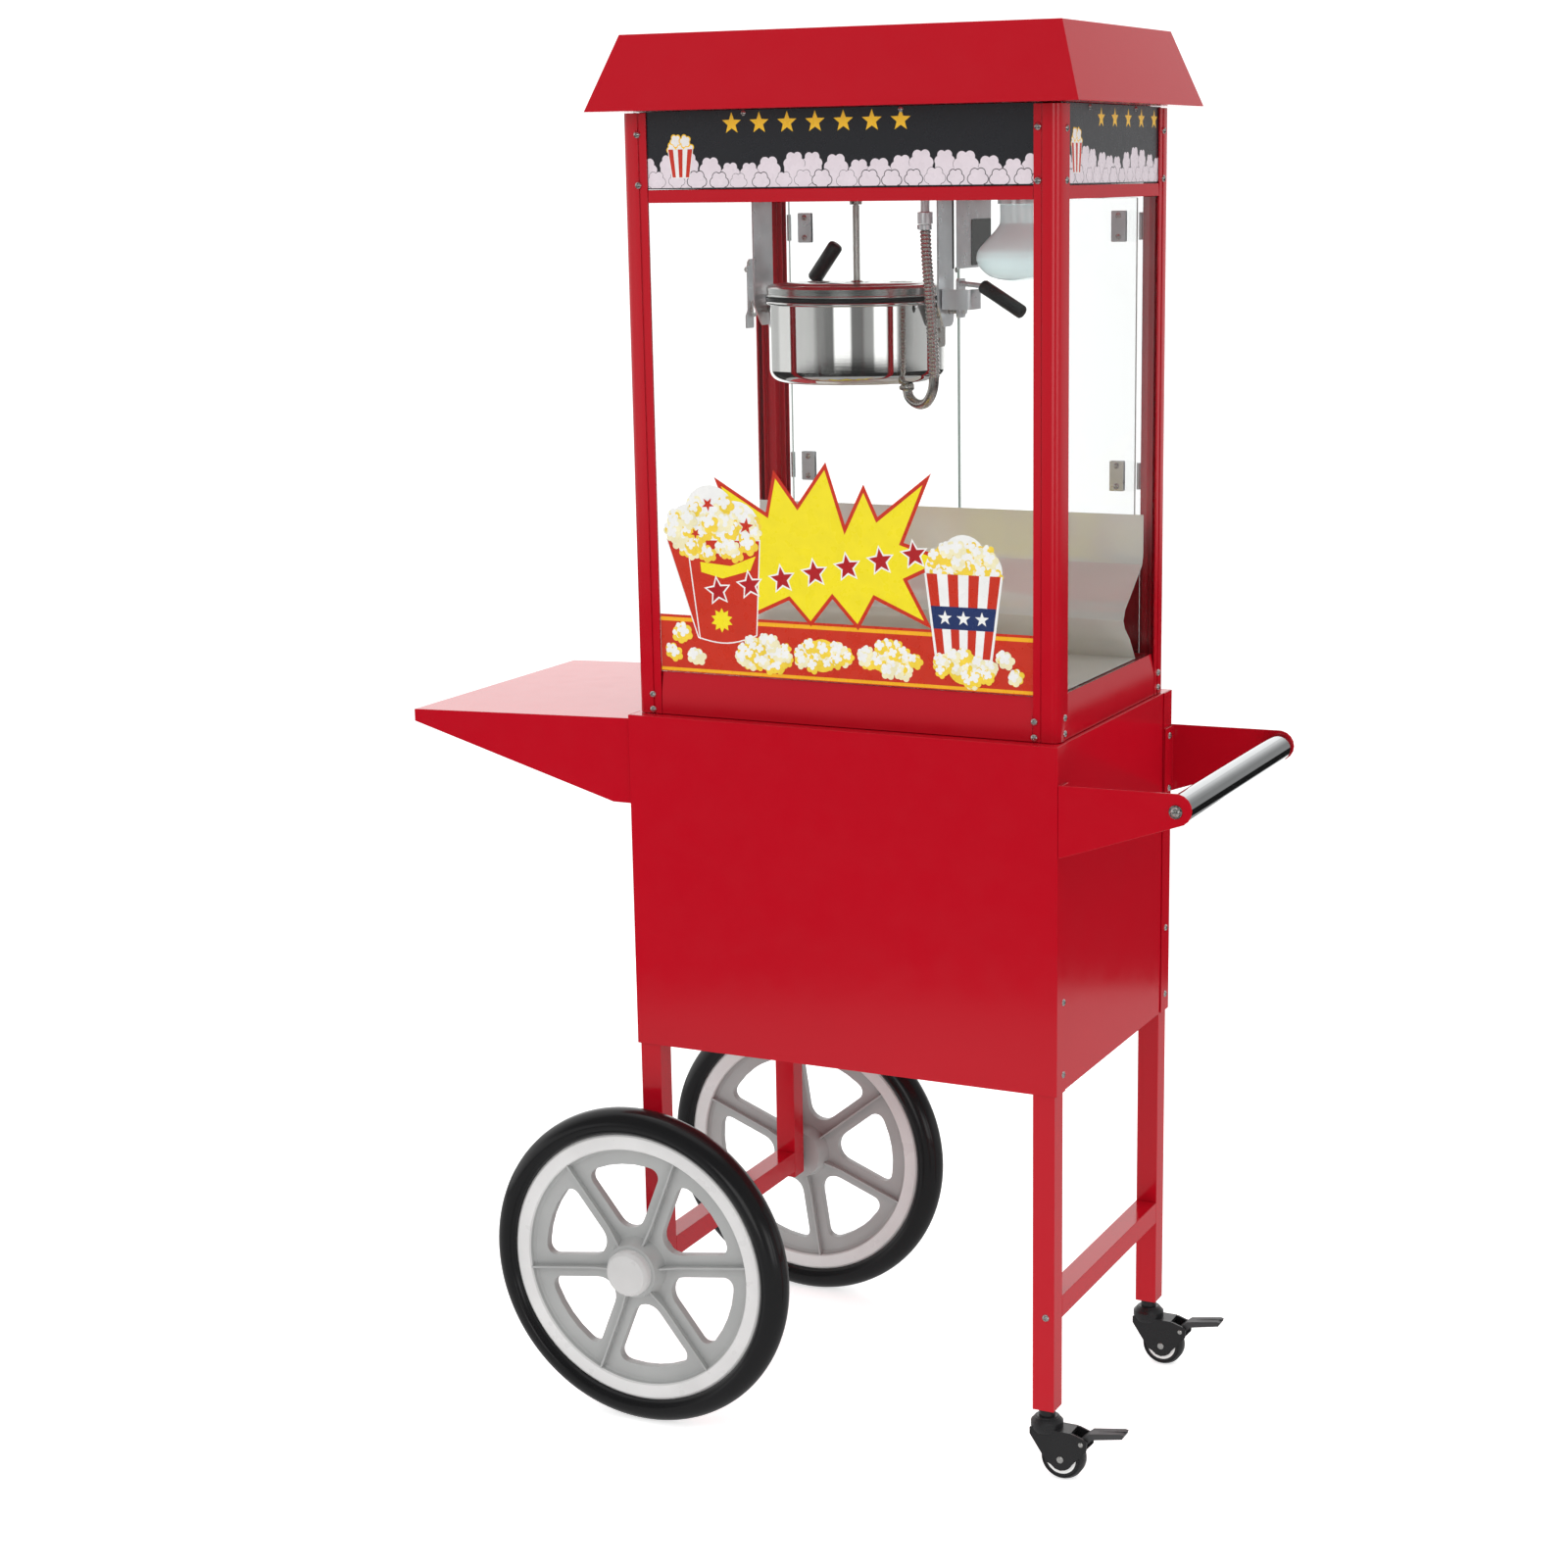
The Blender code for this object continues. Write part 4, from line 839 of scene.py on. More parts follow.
def make_pot():
    """The spun pot with its rolled rim, a black band under the rim that paints the lid's shadow on
    the pot, and the trunnion plates.
    """
    low, high = BOX["kettle_pot"]
    centre = at(KETTLE_X, 0, 0)
    radius = (high.y - low.y) / 2 - 0.004
    rim, floor = high.z, KETTLE_LOW
    inner = radius - 0.0016
    work = bmesh.new()
    profile = [(0, floor), (radius - 0.03, floor), (radius - 0.0285, floor + 0.0008),
               (radius - 0.0275, floor)]
    profile += arc((radius - 0.014, floor + 0.014), 0.014, 272, 360, 10)
    profile += [(radius, rim - 0.0086)]
    profile += arc((radius + 0.0018, rim - 0.0056), 0.0022, 215, 440, 10)
    profile += [(radius + 0.0004, rim - 0.003), (radius + 0.0004, rim), (inner, rim),
                (inner, floor + 0.022)]
    profile += arc((inner - 0.01, floor + 0.026), 0.01, 0, -90, 8)
    profile += [(0, floor + 0.016)]
    lathe(work, profile, Matrix.Translation(centre), 128)
    pot = finished("kettle_pot_spinning", work, POT, "kettle", sharp=40)
    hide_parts("kettle_pot")
    # A black band round the rim: painted shadow where the lid shades the pot, not a real seal.
    work = bmesh.new()
    shadow_band = [(radius + 0.0003, rim - 0.0032), (radius + 0.0032, rim - 0.003),
            (radius + 0.0036, rim), (radius + 0.0003, rim)]
    lathe(work, shadow_band, Matrix.Translation(centre), 96, closed=True)
    finished("kettle_rim_painted_shadow", work, GRIP, "kettle")

    work = bmesh.new()
    for side in (-1, 1):
        place = facing(at(KETTLE_X + side * (radius - 0.0012), 0, PIVOT_Z), (side, 0, 0))
        slab(work, rounded(rectangle(-0.017, -0.04, 0.017, 0.012), 0.004), 0, 0.0022, place)
        lathe(work, [(0, 0.002), (0.009, 0.002), (0.0084, 0.007), (0.004, 0.0074),
                     (0.004, 0.0255), (0.0034, 0.0262), (0, 0.0262)], place, 36)
        for v in (-0.022, -0.033):
            place_rivet = facing(at(KETTLE_X + side * radius, 0, PIVOT_Z + v), (side, 0, 0))
            lathe(work, [(0, 0.003), (0.0022, 0.0026), (0.0034, 0.0008), (0.0034, 0), (0, 0)],
                  place_rivet, 20)
    finished("kettle_trunnions", work, ROD, "kettle", 0.0003)


def lid_half(keep, edge):
    """Half of the lid: a shallow pressed cap with a beaded rim, cut along a line of fixed Y."""
    low, top, r = BOX["kettle_pot"][1].z + 0.0003, LID_TOP, LID_RADIUS
    profile = [(0, top), (r - 0.018, top), (r - 0.0165, top - 0.0012), (r - 0.006, top - 0.0012),
               (r - 0.0028, top - 0.002), (r - 0.0008, top - 0.0046), (r - 0.0014, low + 0.0026)]
    profile += arc((r - 0.0016, low + 0.0016), 0.0016, 60, -90, 6)
    profile += [(r - 0.0032, low + 0.0026), (r - 0.003, top - 0.0055), (r - 0.006, top - 0.0024),
                (r - 0.018, top - 0.0026), (0, top - 0.0012)]
    work = bmesh.new()
    lathe(work, profile, Matrix.Translation(at(KETTLE_X, 0, 0)), 128)
    cut = bmesh.ops.bisect_plane(
        work, geom=work.verts[:] + work.edges[:] + work.faces[:], dist=1e-7,
        plane_co=(0, edge, 0), plane_no=(0, -keep, 0), clear_outer=True,
    )
    border = [e for e in cut["geom_cut"] if isinstance(e, bmesh.types.BMEdge)]
    bmesh.ops.holes_fill(work, edges=border)
    return work


def make_lids():
    """The lid's two halves, the grip and the hinge leaves."""
    split = 0.0125
    work = lid_half(-1, split - 0.0004)
    place = Matrix.Translation(at(KETTLE_X, 0, LID_TOP))
    lathe(work, [(0.0064, -0.001), (0.0135, -0.0002), (0.0135, 0.0), (0.01, 0.0)], place,
          48, closed=True)
    fixed = finished("kettle_fixed_lid_pressing", work, LID, "kettle", sharp=40)
    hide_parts("kettle_fixed_lid")

    work = lid_half(1, split + 0.0004)
    flap = finished("kettle_flap_lid_pressing", work, LID, "kettle_flap", sharp=40)
    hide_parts("kettle_flap_lid")

    start = at(KETTLE_X - 0.078, 0.05, LID_TOP - 0.001)
    end = at(KETTLE_X - 0.0475, 0.05, LID_TOP + 0.04)
    grip("kettle_lid_grip", start.lerp(end, 0.04), end, 0.0085, "kettle_flap")

    work = bmesh.new()
    for x in (-0.05, 0.05):
        place = facing(at(KETTLE_X + x, split, LID_TOP + 0.0001), (0, 0, 1), (0, 1, 0))
        slab(work, rounded(rectangle(-0.012, -0.0095, 0.012, -0.0012), 0.0015), -0.0004, 0.0006,
             place)
    finished("kettle_lid_hinge_leaves", work, ROD, "kettle", 0.0002)


def grip(name, start, end, radius, body):
    """A moulded black grip with a rounded end."""
    start, end = Vector(start), Vector(end)
    length, bend = (end - start).length, radius * 0.45
    work = bmesh.new()
    profile = [(0, 0), (radius * 0.82, 0), (radius * 0.86, 0.0008), (radius, 0.0022)]
    profile += arc((radius - bend, length - bend), bend, 0, 90, 3) + [(0, length)]
    lathe(work, profile, facing(start, end - start), 36)
    finished(name, work, GRIP, body, sharp=45)


def make_tilt_handle():
    """The handle plate on the right trunnion, its bent rod and its grip."""
    x0 = BOX["kettle_tilt_handle"][0].x
    pivot = Vector((x0, 0, PIVOT_Z))
    work = bmesh.new()
    slab(work, rounded(rectangle(-0.012, -0.008, 0.008, 0.034), 0.003), 0, 0.003,
         facing(pivot, (1, 0, 0)))
    bolt(work, (x0 + 0.0029, 0, PIVOT_Z), (1, 0, 0), 0.0046, 0.0028)
    rod_start = pivot + Vector((0.001, -0.006, 0.029))
    elbow = pivot + Vector((0.034, -0.01, 0.026))
    tip = pivot + Vector((0.08, -0.016, -0.002))
    grip_start = pivot + Vector((0.03, -0.01, 0.0268))
    tube(work, [rod_start, rod_start.lerp(elbow, 0.5), elbow, elbow.lerp(tip, 0.2)], 0.0028, 16)
    plate = finished("kettle_tilt_arm", work, ZINC, "kettle", 0.0003)
    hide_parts("kettle_tilt_handle")
    grip("kettle_tilt_grip", grip_start, tip, 0.0075, "kettle")


def make_stirrer():
    softened("stirrer", 0.0004, ROD)
    work = bmesh.new()
    place = Matrix.Translation(at(KETTLE_X, 0, LID_TOP + 0.0004))
    lathe(work, [(0.004, 0), (0.007, 0), (0.0062, 0.0012), (0.004, 0.0018)], place, 36,
          closed=True)
    finished("stirrer_collar", work, ROD, "stirrer_rod")


def make_hanger_details():
    """The hangers' rivets, the ring, the left one's catch plate and the right one's clip."""
    work = bmesh.new()
    left, right = BOX["left_hanger"], BOX["right_hanger"]
    for x, side in ((left[0].x, -1), (right[1].x, 1)):
        place = facing((x, 0, PIVOT_Z), (side, 0, 0))
        if side < 0:
            lathe(work, [(0.0052, 0), (0.0092, 0), (0.0092, 0.0011), (0.0052, 0.0011)], place,
                  28, closed=True)
        for y, z in ((-0.012, 1.308), (-0.019, 1.301)):
            spot = facing((x, y, z), (side, 0, 0))
            lathe(work, [(0, 0.0016), (0.002, 0.0014), (0.003, 0.0004), (0.003, -0.0004),
                         (0, -0.0004)], spot, 20)
    finished("hanger_rivets", work, SCREW, "root")

    work = bmesh.new()
    x = left[0].x - 0.003
    place = facing((x, 0, 0), (-1, 0, 0))
    outline = [(-0.004, 1.236), (0.014, 1.236), (0.014, 1.25), (0.009, 1.256), (0.009, 1.305),
               (0.004, 1.312), (-0.004, 1.312)]
    slab(work, rounded(outline, 0.0015, 3), 0, 0.0016, place)
    finished("left_catch_plate", work, ZINC, "root", 0.0002)

    work = bmesh.new()
    near, far, front, back, wall = 0.0586, 0.0935, -0.026, 0.003, 0.0016
    clip = [(near, back), (near, front), (far, front), (far, back), (far - wall, back),
            (far - wall, front + wall), (near + wall, front + wall), (near + wall, back)]
    outline = rounded(clip, [0, 0.003, 0.003, 0, 0, 0.0014, 0.0014, 0], 4)
    slab(work, [(CART_X + u, v) for u, v in outline], 1.259, 1.2805)
    finished("right_hanger_clip", work, ZINC, "root", 0.0003)


# Kettle's lead. Its route repeats the CAD's, in cart coordinates.

HOSE_RADIUS = 0.0062
ELBOW_RADIUS = 0.0054
HOSE_END = 1.188
CONDUIT_ROUTE = (
    (0.0552, -0.058, 1.35),
    (0.0555, -0.058, 1.337),
    (0.0566, -0.0581, 1.315),
    (0.0586, -0.0582, 1.29),
    (0.0606, -0.0583, 1.262),
    (0.0626, -0.0584, 1.234),
    (0.0642, -0.0584, 1.211),
    (0.0646, -0.0584, 1.191),
    (0.0618, -0.057, 1.1745),
    (0.0542, -0.053, 1.163),
    (0.0442, -0.0474, 1.159),
    (0.0338, -0.0418, 1.1605),
    (0.0262, -0.0378, 1.1655),
    (0.0237, -0.0363, 1.1702),
    (0.023, -0.036, 1.174),
)


def smooth_route(points, steps):
    """A smooth curve through the route's points."""
    ends = [2 * points[0] - points[1]] + points + [2 * points[-1] - points[-2]]
    result = []
    for a, b, c, d in zip(ends, ends[1:], ends[2:], ends[3:]):
        for k in range(steps):
            t = k / steps
            result.append(0.5 * (2 * b + (c - a) * t + (2 * a - 5 * b + 4 * c - d) * t * t
                                 + (3 * b - a - 3 * c + d) * t ** 3))
    return result + [points[-1]]


def evenly(points, spacing):
    """The same line with points at an even spacing, and its length."""
    lengths = [0.0]
    for a, b in zip(points, points[1:]):
        lengths.append(lengths[-1] + (b - a).length)
    count = round(lengths[-1] / spacing)
    result, i = [], 0
    for k in range(count + 1):
        want = lengths[-1] * k / count
        while i < len(points) - 2 and lengths[i + 1] < want:
            i += 1
        share = (want - lengths[i]) / (lengths[i + 1] - lengths[i])
        result.append(points[i].lerp(points[i + 1], min(max(share, 0), 1)))
    return result, lengths[-1]


def make_conduit():
    """The ribbed metal hose, the rigid elbow that it is screwed to, and their fittings."""
    rib = 0.0042
    route = smooth_route([at(*p) for p in CONDUIT_ROUTE], 24)
    turn = next(i for i, p in enumerate(route) if p.z < HOSE_END)
    line, length = evenly(route[:turn + 1], rib / 7)
    radii = []
    for k in range(len(line)):
        wave = 0.5 + 0.5 * math.cos(math.tau * k / 7)
        radii.append(HOSE_RADIUS - 0.0016 * (1 - wave ** 0.55))
    work = bmesh.new()
    tube(work, line, radii, 20)
    hose = finished("kettle_conduit_hose", work, SCREW, None, sharp=80)
    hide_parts("kettle_conduit")
    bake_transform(hose)

    work = bmesh.new()
    tube(work, evenly(route[turn - 2:], 0.0015)[0], ELBOW_RADIUS, 28)
    finished("conduit_elbow", work, ROD, "kettle")
    work = bmesh.new()
    x, y, low = CONDUIT_ROUTE[-1]
    lathe(work, [(0, low - 0.001), (0.0066, low - 0.001), (0.0074, low + 0.0006),
                 (0.0074, low + 0.0046), (0.0062, low + 0.0064), (0, low + 0.0064)],
          Matrix.Translation(at(x, y, 0)), 36)
    screw(work, at(x - 0.007, y - 0.003, low + 0.0016), (-0.9, -0.4, -0.2), 0.0024)
    finished("conduit_kettle_gland", work, ROD, "kettle", 0.0002)

    softened("conduit_plug", 0.0003, ZINC)
    work = bmesh.new()
    x, y, top = CONDUIT_ROUTE[0]
    screw(work, at(x - 0.0072, y - 0.002, top - 0.003), (-0.9, -0.4, 0), 0.0026)
    lathe(work, [(0.006, top - 0.006), (0.0071, top - 0.0056), (0.0071, top - 0.0006),
                 (0.006, top - 0.0002)], Matrix.Translation(at(x, y, 0)), 36, closed=True)
    finished("conduit_top_clamp", work, ZINC, "root", 0.0002)


# Lamp

BULB_PROFILE = (
    (0.0, 1.2902), (0.0102, 1.291), (0.0232, 1.2938), (0.0318, 1.2978), (0.0388, 1.3045),
    (0.042, 1.311), (0.0426, 1.3138), (0.0424, 1.317), (0.0405, 1.3231), (0.0336, 1.3315),
    (0.024, 1.3416), (0.0189, 1.3484), (0.0176, 1.3534), (0.0176, 1.37),
)


def make_lamp():
    """The reflector bulb with its frosted dome and its holder, dark sheets on the shield that
    paint its shade, and the shield's edge.
    """
    place = Matrix.Translation(at(LAMP_X, LAMP_Y, 0))
    outline = [(max(p.x, 0.0), p.y) for p in
               smooth_route([Vector((*q, 0)) for q in BULB_PROFILE], 6)[1:]]
    work = bmesh.new()
    lathe(work, [(0, BULB_PROFILE[0][1])] + outline + [(0, BULB_PROFILE[-1][1])], place, 96)
    bulb = finished("lamp_bulb_dome", work, BULB, "root", sharp=60)
    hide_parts("lamp_bulb")

    shield = BOX["lamp_bracket"][0]
    # Dark sheets on both faces of the shield: painted shade, since the shield is in shadow there.
    work = bmesh.new()
    shaded_face = rounded(rectangle(-0.021, 1.306, 0.033, 1.3545), 0.002)
    for x, side in ((shield.x, -1), (shield.x + 0.0015, 1)):
        slab(work, shaded_face, 0.0001, 0.0006, facing((x, 0, 0), (side, 0, 0)))
    finished("lamp_shield_painted_shade_sheets", work, SHIELD_SHADE, "root")
    work = bmesh.new()
    tube(work, [(shield.x + 0.0007, shield.y, 1.304), (shield.x + 0.0007, shield.y, 1.376)],
         0.0011, 12)
    finished("lamp_shield_edge", work, GRIP, "root")


# Rear doors, drawer, storage door and switches

def make_doors():
    """The doors' hinge leaves with their screws, clear spacers and ground edges."""
    for name, side in (("left", -1), ("right", 1)):
        low, high = BOX[f"{name}_door"]
        body = f"{name}_door_leaf"
        work, clear, bolts = bmesh.new(), bmesh.new(), bmesh.new()
        for z in (1.3428, 1.066):
            u0, u1 = sorted((CART_X + side * 0.1856, CART_X + side * 0.2023))
            outline = rounded(rectangle(u0, z - 0.017, u1, z + 0.017), 0.0012, 3)
            for y, out in ((high.y, 1), (low.y, -1)):
                slab(work, outline, 0, -0.0012 * out, front_plane(y))
                for dz in (-0.0115, 0.0115):
                    screw(bolts, ((u0 + u1) / 2, y + 0.0012 * out, z + dz), (0, out, 0), 0.0034)
            x0, x1 = sorted((CART_X + side * 0.204, CART_X + side * 0.2144))
            brick(clear, (x0, high.y + 0.0002, z - 0.017), (x1, high.y + 0.0032, z + 0.017))
            rod(work, 0.0026, -0.015, 0.015,
                Matrix.Translation((CART_X + side * 0.2178, 0.1668, z)), 20)
        finished(f"{name}_door_hinges", work, ZINC, body, 0.0002)
        finished(f"{name}_door_hinge_screws", bolts, SCREW, body, sharp=40)
        finished(f"{name}_door_spacers", clear, GLASS, body, 0.0006)
        work = bmesh.new()
        near, far = low + Vector((0.0003,) * 3), high - Vector((0.0003,) * 3)
        for axis in (0, 2):
            for edge in (low, high):
                a, b = near.copy(), far.copy()
                a[axis], b[axis] = edge[axis] - 0.0002, edge[axis] + 0.0002
                brick(work, a, b)
        finished(f"{name}_door_ground_edges", work, FROST, body)


def front_plane(y, x=0):
    """Local X and Y as the frame's X and Z, at a depth, with local Z to the front."""
    return Matrix(((1, 0, 0, x), (0, 0, -1, y), (0, 1, 0, 0), (0, 0, 0, 1)))


def bezel(work, x, outer, inner, high):
    """A frame on the control panel, between two outlines of half width, height and corner."""
    outlines = [rounded(rectangle(x - w, SWITCH_Z - h, x + w, SWITCH_Z + h), r)
                for w, h, r in (outer, inner)]
    frame_ring(work, *outlines, 0, high, front_plane(BOX["rear_control_panel"][1].y + high))


def make_rear_trim():
    """The storage door's pull and hinge, the switches' bezels and the power inlet."""
    work = bmesh.new()
    hinge_x = BOX["storage_door"][0].x
    x, y = BOX["storage_door"][1].x - 0.03, BOX["storage_door"][1].y
    path = [(x, y - 0.0005, 0.59), (x, y + 0.02, 0.594), (x, y + 0.024, 0.602),
            (x, y + 0.024, 0.662), (x, y + 0.02, 0.67), (x, y - 0.0005, 0.674)]
    tube(work, smooth_route([Vector(p) for p in path], 6), 0.0045, 20)
    for z in (0.59, 0.674):
        lathe(work, [(0, 0), (0.0085, 0), (0.0078, 0.0016), (0, 0.0018)],
              facing((x, y, z), (0, 1, 0)), 32)
    finished("storage_door_pull", work, CHROME, "storage_door_leaf")

    work = bmesh.new()
    for z in (0.53, 0.735):
        for low in (-0.024, -0.0078, 0.0084):
            rod(work, 0.003, low, low + 0.0156,
                Matrix.Translation((hinge_x, BOX_Y + 0.0005, z)), 20)
    finished("storage_door_hinge_barrels", work, ZINC, "root", 0.0002)

    work = bmesh.new()
    for node in ("heater_switch", "stirrer_switch", "lamp_switch"):
        low, high = BOX[node]
        bezel(work, (low.x + high.x) / 2, (0.0095, 0.015, 0.002), (0.0066, 0.0118, 0.001), 0.0018)
    finished("switch_bezels", work, BLACK, "root", 0.0003)

    work = bmesh.new()
    x, y, z = CART_X - 0.15, BOX["rear_control_panel"][1].y, SWITCH_Z
    bezel(work, x, (0.024, 0.015, 0.004), (0.016, 0.011, 0.003), 0.003)
    brick(work, (x - 0.0165, y - 0.0002, z - 0.0115), (x + 0.0165, y + 0.0004, z + 0.0115))
    for dx in (-0.007, 0, 0.007):
        brick(work, (x + dx - 0.001, y, z - 0.003 + abs(dx) * 0.3),
              (x + dx + 0.001, y + 0.0024, z + 0.0035))
    finished("power_inlet", work, BLACK, "root", 0.0002)
    screws("power_inlet_screws",
           [((x + dx, y + 0.0028, z), (0, 1, 0)) for dx in (-0.02, 0.02)], 0.0022)


def frame_ring(work, outer, inner, low, high, place):
    """A flat ring between two outlines with the same number of points."""
    sets = []
    for outline in (outer, inner):
        for h in (low, high):
            sets.append([work.verts.new(place @ Vector((u, v, h))) for u, v in outline])
    outer_low, outer_high, inner_low, inner_high = sets
    count = len(outer)
    for i in range(count):
        j = (i + 1) % count
        for a, b in ((outer_low, outer_high), (outer_high, inner_high), (inner_high, inner_low),
                     (inner_low, outer_low)):
            work.faces.new((a[i], a[j], b[j], b[i]))


# Prints. Each shape is a thin film on a face; later layers lie over earlier ones.

FILM = 0.000015


def disc(u, v, radius, steps=24):
    return arc((u, v), radius, 0, 360 - 360 / steps, steps - 1)


def kernel(u, v, size, turn, lobes=5):
    """A popped kernel as overlapping discs, the middle one first."""
    angles = [turn + math.tau * k / lobes for k in range(lobes)]
    around = [(u + 0.58 * size * math.cos(a), v + 0.58 * size * math.sin(a)) for a in angles]
    return [(u, v, 0.52 * size)] + [(a, b, 0.42 * size) for a, b in around]


def merged(circles, grow=0.0, steps=44):
    """One outline round overlapping discs, as seen from the first one's middle."""
    u, v = circles[0][:2]
    result = []
    for k in range(steps):
        ray = Vector((math.cos(math.tau * k / steps), math.sin(math.tau * k / steps)))
        reach = 0.0
        for a, b, r in circles:
            offset = Vector((a - u, b - v))
            along = offset.dot(ray)
            spare = (r + grow) ** 2 - offset.length_squared + along ** 2
            if spare > 0:
                reach = max(reach, along + math.sqrt(spare))
        result.append((u + reach * ray.x, v + reach * ray.y))
    return result


def star(u, v, outer, inner, points, turn=math.pi / 2):
    result = []
    for k in range(2 * points):
        r = inner if k % 2 else outer
        angle = turn + math.pi * k / points
        result.append((u + r * math.cos(angle), v + r * math.sin(angle)))
    return result


def inset(outline, amount):
    """An anticlockwise outline moved inwards, with its corners kept sharp."""
    result = []
    for i, corner in enumerate(outline):
        corner = Vector(corner)
        a = (corner - Vector(outline[i - 1])).normalized()
        b = (Vector(outline[(i + 1) % len(outline)]) - corner).normalized()
        left = Vector((-a.y, a.x))
        middle = (left + Vector((-b.y, b.x))).normalized()
        result.append(tuple(corner + middle * amount / max(middle.dot(left), 0.2)))
    return result


class Print:
    """Flat shapes on one face, each a film's thickness over whatever it covers.

    The films reach as far into the face as out of it, so a print on a pane shows from
    both sides. The shapes of each ink are gathered into one piece.
    """

    def __init__(self, name, place, window):
        self.name, self.place, self.window = name, place, window
        self.laid = []
        self.work = {}

    def add(self, ink, *outlines):
        shapes = [s for s in (clipped(o, *self.window) for o in outlines) if s]
        if not shapes:
            return
        us, vs = zip(*(p for shape in shapes for p in shape))
        area = (min(us), min(vs), max(us), max(vs))
        under = [layer for (u0, v0, u1, v1), layer in self.laid
                 if u0 < area[2] and u1 > area[0] and v0 < area[3] and v1 > area[1]]
        layer = 1 + max(under, default=0)
        self.laid.append((area, layer))
        if ink not in self.work:
            self.work[ink] = bmesh.new()
        for shape in shapes:
            slab(self.work[ink], shape, -layer * FILM, layer * FILM, self.place)

    def finish(self):
        for ink, work in self.work.items():
            short = ink.name.replace("ink_", "")
            finished(f"{self.name}_{short}", work, ink, "root", sharp=60)


def cloud(u, v, size):
    """An outlined puff of popcorn as overlapping discs."""
    parts = ((0, 0, 0.66), (-0.62, -0.1, 0.46), (0.62, -0.1, 0.46), (-0.34, 0.46, 0.44),
             (0.34, 0.48, 0.44), (0, -0.45, 0.62))
    return [(u + a * size, v + b * size, c * size) for a, b, c in parts]


def small_cup(sheet, u, v, tall):
    """A little striped cup with a few kernels, for the signs."""
    for du, dv in ((-0.32, 1.02), (0.32, 1.02), (0, 1.16), (-0.18, 1.3), (0.2, 1.28)):
        sheet.add(INK_GOLD, merged(kernel(u + du * tall, v + dv * tall, 0.26 * tall, du * 9)))
        sheet.add(INK_WHITE, merged(kernel(u + du * tall, v + dv * tall, 0.21 * tall, du * 9)))
    striped_cup(sheet, u, v, 0.5 * tall, 0.34 * tall, tall, 5, INK_RED, INK_WHITE)


def make_sign_print(name, place, half_width, low, high, stars, seed):
    """A bank of outlined popcorn along the foot of a black sign, a cup and a row of stars."""
    chance = random.Random(seed)
    sheet = Print(name, place, (-half_width, low, half_width, high))
    sheet.add(INK_PUFF, rectangle(-half_width, low + 0.0006, half_width, low + 0.0085))
    pitch = 0.0245
    count = int(2 * half_width / pitch) + 2
    for row, (rise, size, line) in enumerate(((0.0165, 0.0118, 0.00035), (0.007, 0.0098, 0.0008))):
        for k in sorted(range(count), key=lambda k: k % 2 != row):
            u = -half_width + (k + 0.5 * row) * pitch + chance.uniform(-0.003, 0.003)
            swell = 0.5 + 0.5 * math.sin(u * 42 + seed)
            v = low + rise + (0.01 * swell if row == 0 else 0.002 * swell)
            big = size * chance.uniform(0.85, 1.12)
            heavy = row == 0 or chance.random() < 0.6
            shape = cloud(u, v, big)
            sheet.add(INK_BLACK, merged(shape, line if heavy else 0.0004))
            sheet.add(INK_PUFF, merged(shape))
            if row == 0:
                sheet.add(INK_PUFF, rectangle(u - big, low + 0.0006, u + big, v - 0.3 * big))
    sheet.add(INK_BLACK, rectangle(-half_width, low, half_width, low + 0.0012))
    small_cup(sheet, -0.82 * half_width, low + 0.012, 0.029)
    first, last, number, radius = stars
    for k in range(number):
        u = half_width * (first + (last - first) * k / (number - 1))
        sheet.add(INK_GOLD, star(u, high - 0.0137, radius, radius * 0.42, 5))
    sheet.finish()


def make_signs():
    low, high = SIGN_LOW + 0.0001, SIGN_HIGH - 0.0001
    make_sign_print("front_sign_print", front_plane(SIGN_Y, CART_X), WINDOW_X - 0.0004, low, high,
                    (-0.54, 0.34, 7, 0.0116), 3)
    for name, side, seed in (("right", 1, 5), ("left", -1, 8)):
        place = Matrix(((0, 0, side, CART_X + side * SIGN_X), (side, 0, 0, 0), (0, 1, 0, 0),
                        (0, 0, 0, 1)))
        make_sign_print(f"{name}_sign_print", place, WINDOW_Y - 0.0004, low, high,
                        (-0.3, 0.9, 5, 0.0108), seed)


def popcorn_heap(sheet, chance, u, v, half_width, height, size, count):
    """A heap of popped kernels in white over yellow."""
    for k in range(count):
        share = chance.uniform(-1, 1)
        reach = math.sqrt(max(0.0, 1 - share * share))
        du, dv = share * half_width, chance.uniform(-1, 1) * height * reach
        r = size * chance.uniform(0.8, 1.15)
        turn = chance.uniform(0, 1.5)
        under = INK_YOLK if chance.random() < 0.6 else INK_CREAM
        sheet.add(under, merged(kernel(u + du + r * 0.12, v + dv - r * 0.16, r, turn)))
        white = kernel(u + du - r * 0.1, v + dv + r * 0.14, r * 0.72, turn + 0.6, 4)
        sheet.add(INK_WHITE, merged(white))


def striped_cup(sheet, u, v, top_half, low_half, tall, stripe, ink, other):
    """A tapered paper cup with upright stripes and a white edge."""
    edge = 0.06 * top_half
    sheet.add(INK_WHITE, [(u - low_half - edge, v - edge), (u + low_half + edge, v - edge),
                          (u + top_half + edge, v + tall), (u - top_half - edge, v + tall)])
    bands = []
    for k in range(stripe):
        a, b = -1 + 2 * k / stripe, -1 + 2 * (k + 1) / stripe
        bands.append([(u + low_half * a, v), (u + low_half * b, v), (u + top_half * b, v + tall),
                      (u + top_half * a, v + tall)])
    sheet.add(ink, *bands[0::2])
    sheet.add(other, *bands[1::2])


